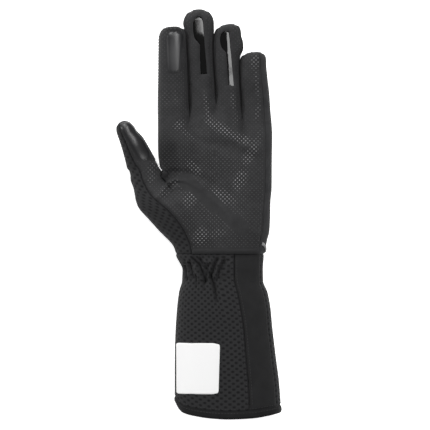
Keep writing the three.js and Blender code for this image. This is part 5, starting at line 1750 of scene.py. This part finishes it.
def grip_dots():
    """All dots as one piece."""
    places = dot_places()
    up = palm_surface["normals"][:, 2] > DOT_STEEP
    inside = palm_surface["distance"] > DOT_RIM
    corners = palm_surface["points"][up & inside]
    normals = palm_surface["normals"][up & inside]
    index, away = nearest_corner(places, corners[:, :2])
    kept = (away < DOT_REACH) & off_pads(places)
    places, index = places[kept], index[kept]
    normal, corner = normals[index], corners[index]
    shift = places - corner[:, :2]
    height = corner[:, 2] - (normal[:, :2] * shift).sum(1) / normal[:, 2]
    centres = vector(places[:, 0], places[:, 1], height) - normal * DOT_SINK
    along = unit(np.cross((0.0, 1.0, 0.0), normal))
    dot = dome(DOT["radius"], DOT["height"], DOT["sides"])
    points, faces = copies(dot, centres, along, np.cross(normal, along), normal)
    chance = np.random.default_rng(CHANCE["seed"]).uniform(CHANCE["low"], CHANCE["high"], len(places))
    # Each dot's painted highlight: its patch's strength times its chance.
    shine = np.repeat(patches_at(SHINE, places[:, 0], places[:, 1]) * chance, len(dot[0]))
    finished("palm_grip_dots", points, faces, points[:, :2], DOT_FILM, None, shine)
    print("dots:", len(places))


grip_dots()

# %% [markdown]
# A narrow band of suede is folded over the palm's lower edge, to keep it from fraying. It
# is the palm's lowest rows once more, raised by a layer. A path with a bevel would be
# round, and this band is flat.

# %% Band at the palm's lower edge
BAND = dict(height=4.6, low_row=0.006, rows=9, digit_round=14.0, wall=1.0, roll=0.5, shade=0.35)


def band_grid():
    """The suede's lowest rows, from the thumb seam to the outer seam."""
    rows = np.linspace(BAND["low_row"], BAND["height"] / THUMB_CROTCH_Y, BAND["rows"])[:, None]
    shares = steps(BAND["digit_round"])[None, :-1]
    columns = [comb_point(digit, "front", shares, rows) for digit in range(len(DIGITS))]
    points = np.concatenate(columns, axis=1)[:, 1:]
    return grid(points, points[..., :2].copy())


def even_shade(points, distance):
    """The folded edge is a little darker all over."""
    return np.full(len(points), BAND["shade"])


panel("palm_hem", [band_grid()], BAND["wall"], SUEDE, None, raised=LAYER_GAP + BAND["wall"],
      roll=BAND["roll"], kind="band", amount=even_shade)

# %% [markdown]
# A bit of light piping shows at the outer side of the wrist, where a ribbon's end is caught
# in the seam. It is a narrow strip of the hand's side that slants up towards the palm, its
# ends cut square.

# %% Piping at the wrist
PIPE = dict(width=2.4, round=16.0, fine=0.5, rows=6, wall=1.2, roll=0.6)
PIPE_SLANT = dict(front=0.115, back=0.012, reach=0.6, end=0.06)


def piping_grid():
    """A narrow strip across the outer side that slants up towards the palm."""
    end = PIPE_SLANT["end"]
    u = steps(PIPE["round"], end, 1 - end, PIPE["fine"])[None, :]
    v = np.linspace(end, 1, PIPE["rows"])[:, None]
    low = mix(PIPE_SLANT["front"], PIPE_SLANT["back"], smooth(u / PIPE_SLANT["reach"]))
    points = comb_point(LAST, "right", u, low + v * PIPE["width"] / THUMB_CROTCH_Y)
    return grid(points, np.stack(np.broadcast_arrays(u * PIPE["round"], v * PIPE["width"]), axis=-1).copy())


panel("wrist_piping", [piping_grid()], PIPE["wall"], PIPING, None,
      raised=LAYER_GAP + PIPE["wall"], roll=PIPE["roll"], kind="strip")

# %% [markdown]
# A white patch for a name is stuck on the sleeve's front, and here it stays blank. It is
# thin, has small round corners and bends with the sleeve. A plane with a Shrinkwrap
# modifier would do too. Here its four straight sides are turned into angles and rows of the
# sleeve instead.

# %% Blank patch
BLANK = dict(width=50.0, height=55.0, rounding=26, wall=0.6, rise=0.6, roll=0.2)
BLANK_SIDES = dict(left=(-31.0, -31.2), right=(3.0, 4.2), low=-113.4, top=-73)


def patch_grid():
    """The blank patch: the sleeve's front between four straight sides, its corners rounded.

    The sleeve's end is drawn up at both sides, so the row is divided by that reach."""
    v = -np.cos(steps(BLANK["height"]) * math.pi)
    share = (v + 1) / 2
    straight = -mix(BLANK_SIDES["low"], BLANK_SIDES["top"], share) / CUFF_LENGTH
    middle, half, _ = cuff_frame(straight)
    left, right = (angle_at((mix(*BLANK_SIDES[side], share) - middle) / half, CUFF_SQUARE)
                   for side in ("left", "right"))
    centre, wide = (left + right) / 2, (right - left) / 2 * narrowed(v, BLANK["rounding"])
    angle = centre[:, None] + wide[:, None] * steps(BLANK["width"], -1, 1)[None, :]
    reach = curve(HEM_REACH["across"], HEM_REACH["reach"], rounded(angle, CUFF_SQUARE)[0])
    down = straight[:, None]
    points = cuff_point(angle, down / mix(1, reach, smooth(down / reach)))
    return grid(points, points[..., :2].copy())


panel("name_patch", [patch_grid()], BLANK["wall"], PATCH, None,
      raised=BLANK["rise"], roll=BLANK["roll"], kind="print")

# %% [markdown]
# Seams are what makes cloth read as sewn. A stitch is a short thread that dips into the
# cloth at both ends, so each is a small rounded bar. A normal map would vanish in a low
# view, and a bar costs a few dozen faces only.

# %% One stitch
STITCH = dict(length=1.7, width=0.42, height=0.3, pitch=2.5, sides=6, inset=1.5)
STITCH_RINGS = dict(place=(-1.0, -0.6, 0.6, 1.0), size=(0.4, 1.0, 1.0, 0.4))


def stitch_shape():
    """A bar of four rings: the ring's place along it and its share of the full thickness."""
    turn = np.arange(STITCH["sides"]) * 2 * math.pi / STITCH["sides"]
    place, size = (np.array(STITCH_RINGS[column])[:, None] for column in ("place", "size"))
    rings = vector(place * STITCH["length"] / 2, np.cos(turn) * size * STITCH["width"] / 2,
                   np.sin(turn) * size * STITCH["height"] / 2)
    index = np.arange(rings.shape[0] * rings.shape[1]).reshape(rings.shape[:2])
    after = np.roll(index, -1, axis=1)
    sides = np.stack([index[:-1], index[1:], after[1:], after[:-1]], axis=-1).reshape(-1, 4)
    ends = [[0, 1, 2, 3], [0, 3, 4, 5], [3, 2, 1, 0], [5, 4, 3, 0]]
    caps = np.array(ends) + np.array([[0], [0], [index[-1, 0]], [index[-1, 0]]])
    return rings.reshape(-1, 3), np.concatenate([sides, caps])


print("corners of a stitch:", len(stitch_shape()[0]))

# %% [markdown]
# A seam's line is written in the surface's own parameters, so it follows the finger or the
# sleeve. The direction to one side crossed with the line's own gives the way up. An Array
# along a curve would need a curve object for each seam; reading the line at even lengths
# does the same in one step.

# %% Stitches along a line
NUDGE, STITCH_RISE = 0.01, 0.06


def seam_line(point_at, shares, places):
    """Points along a line of a surface with the way up: side direction crossed with the line's."""
    here = point_at(shares, places)
    up = unit(np.cross(point_at(shares + NUDGE, places) - here, np.gradient(here, axis=0)))
    return here, up * np.where(up[:, 2:] < 0, -1, 1)


def stitches_on(line):
    """Middles, directions and ways up of the stitches of one line, an even pitch apart."""
    here, up = line
    length = way_along(here, 0)
    at = np.arange(STITCH["pitch"] / 2, length[-1], STITCH["pitch"])

    def read(values, places):
        return np.stack([np.interp(places, length, values[:, axis]) for axis in range(3)], axis=1)

    middle, above = read(here, at), read(up, at)
    along = unit(read(here, at + STITCH["length"] / 2) - middle)
    return middle + above * STITCH_RISE, along, above


print("a stitch each", STITCH["pitch"], "mm")

# %% [markdown]
# A row of stitches runs beside each edge of the suede and round both windows, where the
# film behind is sewn in. It keeps an even distance from the edge, as a machine's foot does.
# Below the crotches there is no seam between the fingers, so the rows start just above
# them.

# %% Seams of the fingers and the windows
SEAM_CORNERS = dict(finger=160, window=90, window_top=20, hem=220, gusset=200)
SEAM_START = dict(wrist=0.06, crotch=0.04)


def finger_seams():
    """Lines beside both edges of each finger's front and of the thumb's."""
    lines = []
    for digit in range(len(DIGITS)):
        share = STITCH["inset"] / (DIGITS[digit]["width"] * ROUND_THE_FRONT)
        for place, outermost in ((share, 0), (1 - share - NUDGE, LAST)):
            low = SEAM_START["wrist"] if digit == outermost else ROOT_ROW[digit] + SEAM_START["crotch"]
            rows = np.linspace(low, ROOT_ROW[digit] + STRIP_END, SEAM_CORNERS["finger"])
            shares = np.full(len(rows), place)
            lines.append(seam_line(lambda s, r, d=digit: comb_point(d, "front", s, r), shares, rows))
    return lines


def window_seams():
    """A line round each window: up its left edge, across above it and down its right edge."""
    lines = []
    for digit, table in WINDOWS.items():
        away = STITCH["inset"] / DIGITS[digit]["width"]
        over = table["along"][-1] + STITCH["inset"] / DIGITS[digit]["length"]
        up = np.linspace(table["along"][0], table["along"][-1], SEAM_CORNERS["window"])
        left, right = (curve(table["along"], table[side], up) for side in ("left", "right"))
        top = np.linspace(left[-1], right[-1], SEAM_CORNERS["window_top"])
        across = np.concatenate([left - away, top, right[::-1] + away])
        place = np.concatenate([up, np.full(len(top), over), up[::-1]])

        def front_point(s, p, d=digit):
            return comb_point(d, "front", share_at(d, s, p), row_at(d, p))

        lines.append(seam_line(front_point, across, place))
    return lines


print("rows of stitches on the hand:", len(finger_seams()) + len(window_seams()))

# %% [markdown]
# The hem is sewn down with one row above its edge and one on it. The gusset has a row on
# each side of its front seam and one inside its back seam. All rows become one piece,
# because thousands of small objects would slow Blender down far more than one mesh does.

# %% Seams of the sleeve and all stitches
HEM_SEAM = dict(start=185, end=0, away=0.012)
GUSSET_SEAM = dict(ends=0.03, away=3.0)


def cuff_seams():
    """Two lines round the front of the hem, two beside the gusset's inner seam, one at its outer seam."""
    turn = np.linspace(HEM_SEAM["start"], HEM_SEAM["end"], SEAM_CORNERS["hem"])
    lines = [seam_line(cuff_point, turn, np.full(len(turn), HEM_TOP + away))
             for away in (-HEM_SEAM["away"], HEM_SEAM["away"])]
    down = np.linspace(GUSSET_SEAM["ends"], HEM_TOP - GUSSET_SEAM["ends"], SEAM_CORNERS["gusset"])
    away = GUSSET_SEAM["away"]
    for seam, step in ((inner_seam, away), (inner_seam, -away), (outer_seam, away)):
        lines.append(seam_line(cuff_point, seam(down) + step, down))
    return lines


def all_stitches():
    """Every stitch of the glove as one piece."""
    parts = [stitches_on(line) for line in finger_seams() + window_seams() + cuff_seams()]
    middle, along, up = (np.concatenate(values) for values in zip(*parts))
    points, faces = copies(stitch_shape(), middle, along, np.cross(up, along), up)
    finished("seam_stitches", points, faces, points[:, :2], THREAD, None)
    print("stitches:", len(middle))


all_stitches()

# %% [markdown]
# The glove is shown on a plain white ground. A large sheet with a little emission comes out
# evenly white, and the glove still throws a faint shadow on it. A world colour alone would
# leave the glove floating.

# %% Floor
FLOOR = dict(half=3.0, grey=0.9, roughness=0.9, glow=0.75)
WHITE = (1, 1, 1, 1)


def floor_piece():
    """A plain white floor, well past the frame on all sides."""
    mesh = bpy.data.meshes.new("floor")
    half = FLOOR["half"]
    mesh.from_pydata([(-half, -half, 0), (half, -half, 0), (half, half, 0), (-half, half, 0)], [],
                     [(0, 1, 2, 3)])
    piece = bpy.data.objects.new("floor", mesh)
    bpy.context.scene.collection.objects.link(piece)
    material, _, shader = new_material("floor_white", grey(FLOOR["grey"]), FLOOR["roughness"])
    shader.inputs["Emission Color"].default_value = WHITE
    shader.inputs["Emission Strength"].default_value = FLOOR["glow"]
    piece.data.materials.append(material)


floor_piece()
print("floor:", 2 * FLOOR["half"], "m wide")

# %% [markdown]
# Black cloth shows its shape by soft glows only. Four rectangular lights make them: a long
# one above at the right draws the bright strips on the grips, one behind the fingertips and
# a low one at the thumb side lift the edges, and a weak one over the fingertips fills them.
# Small lamps would leave hard points.

# %% Lights
LIGHT_COLUMNS = ("name", "place", "aim", "size", "power")
LIGHTS = [dict(zip(LIGHT_COLUMNS, row)) for row in (
    ("light_soft", (0.5, 0.36, 1.45), (0.01, 0.05, 0), (0.42, 1.6), 18.7),
    ("light_behind", (-0.25, 1.35, 0.8), (0.01, 0.05, 0), (0.8, 0.8), 16),
    ("light_tips", (0.1, 0.72, 1.45), (0.01, 0.14, 0), (1.2, 0.2), 4),
    ("light_thumb", (-1.4, 0.25, 0.7), (-0.03, 0.03, 0), (0.4, 0.4), 10),
)]
WORLD_LIGHT = 0.17


def area_light(name, place, aim, size, power):
    """A rectangular soft light that faces a point, its width and length as size."""
    light = bpy.data.lights.new(name, "AREA")
    light.shape = "RECTANGLE"
    light.size, light.size_y = size
    light.energy = power
    lamp = bpy.data.objects.new(name, light)
    lamp.location = place
    back = np.array(place) - np.array(aim)
    back = back / np.linalg.norm(back)
    side = np.cross((0.0, 1.0, 0.0), back)
    side = side / np.linalg.norm(side)
    turn = Matrix(np.stack([side, np.cross(back, side), back], axis=1).tolist())
    lamp.rotation_euler = turn.to_euler()
    bpy.context.scene.collection.objects.link(lamp)


for light in LIGHTS:
    area_light(**light)
world = bpy.data.worlds.new("studio")
world.use_nodes = True
world.node_tree.nodes["Background"].inputs["Color"].default_value = WHITE
world.node_tree.nodes["Background"].inputs["Strength"].default_value = WORLD_LIGHT
bpy.context.scene.world = world
print("lights:", [light["name"] for light in LIGHTS])

# %% [markdown]
# The camera looks straight down from far away with a long lens, so that near and far parts
# of the glove keep their sizes. The Standard view transform keeps the ground white and the
# cloth black; the default one greys both.

# %% Camera
VIEW_MIDDLE = (0.01306, -0.0015, 0.02)
VIEW_WIDTH, CAMERA_HEIGHT, SENSOR, FARTHEST = 0.3526, 3.0, 36.0, 20
bpy.context.scene.view_settings.view_transform = "Standard"
camera_data = bpy.data.cameras.new("camera")
camera_data.sensor_width = SENSOR
camera_data.lens = SENSOR * (CAMERA_HEIGHT - VIEW_MIDDLE[2]) / VIEW_WIDTH
camera_data.clip_end = FARTHEST
camera = bpy.data.objects.new("camera", camera_data)
camera.location = (VIEW_MIDDLE[0], VIEW_MIDDLE[1], CAMERA_HEIGHT)
bpy.context.scene.collection.objects.link(camera)
bpy.context.scene.camera = camera
print("lens:", round(camera_data.lens), "mm")
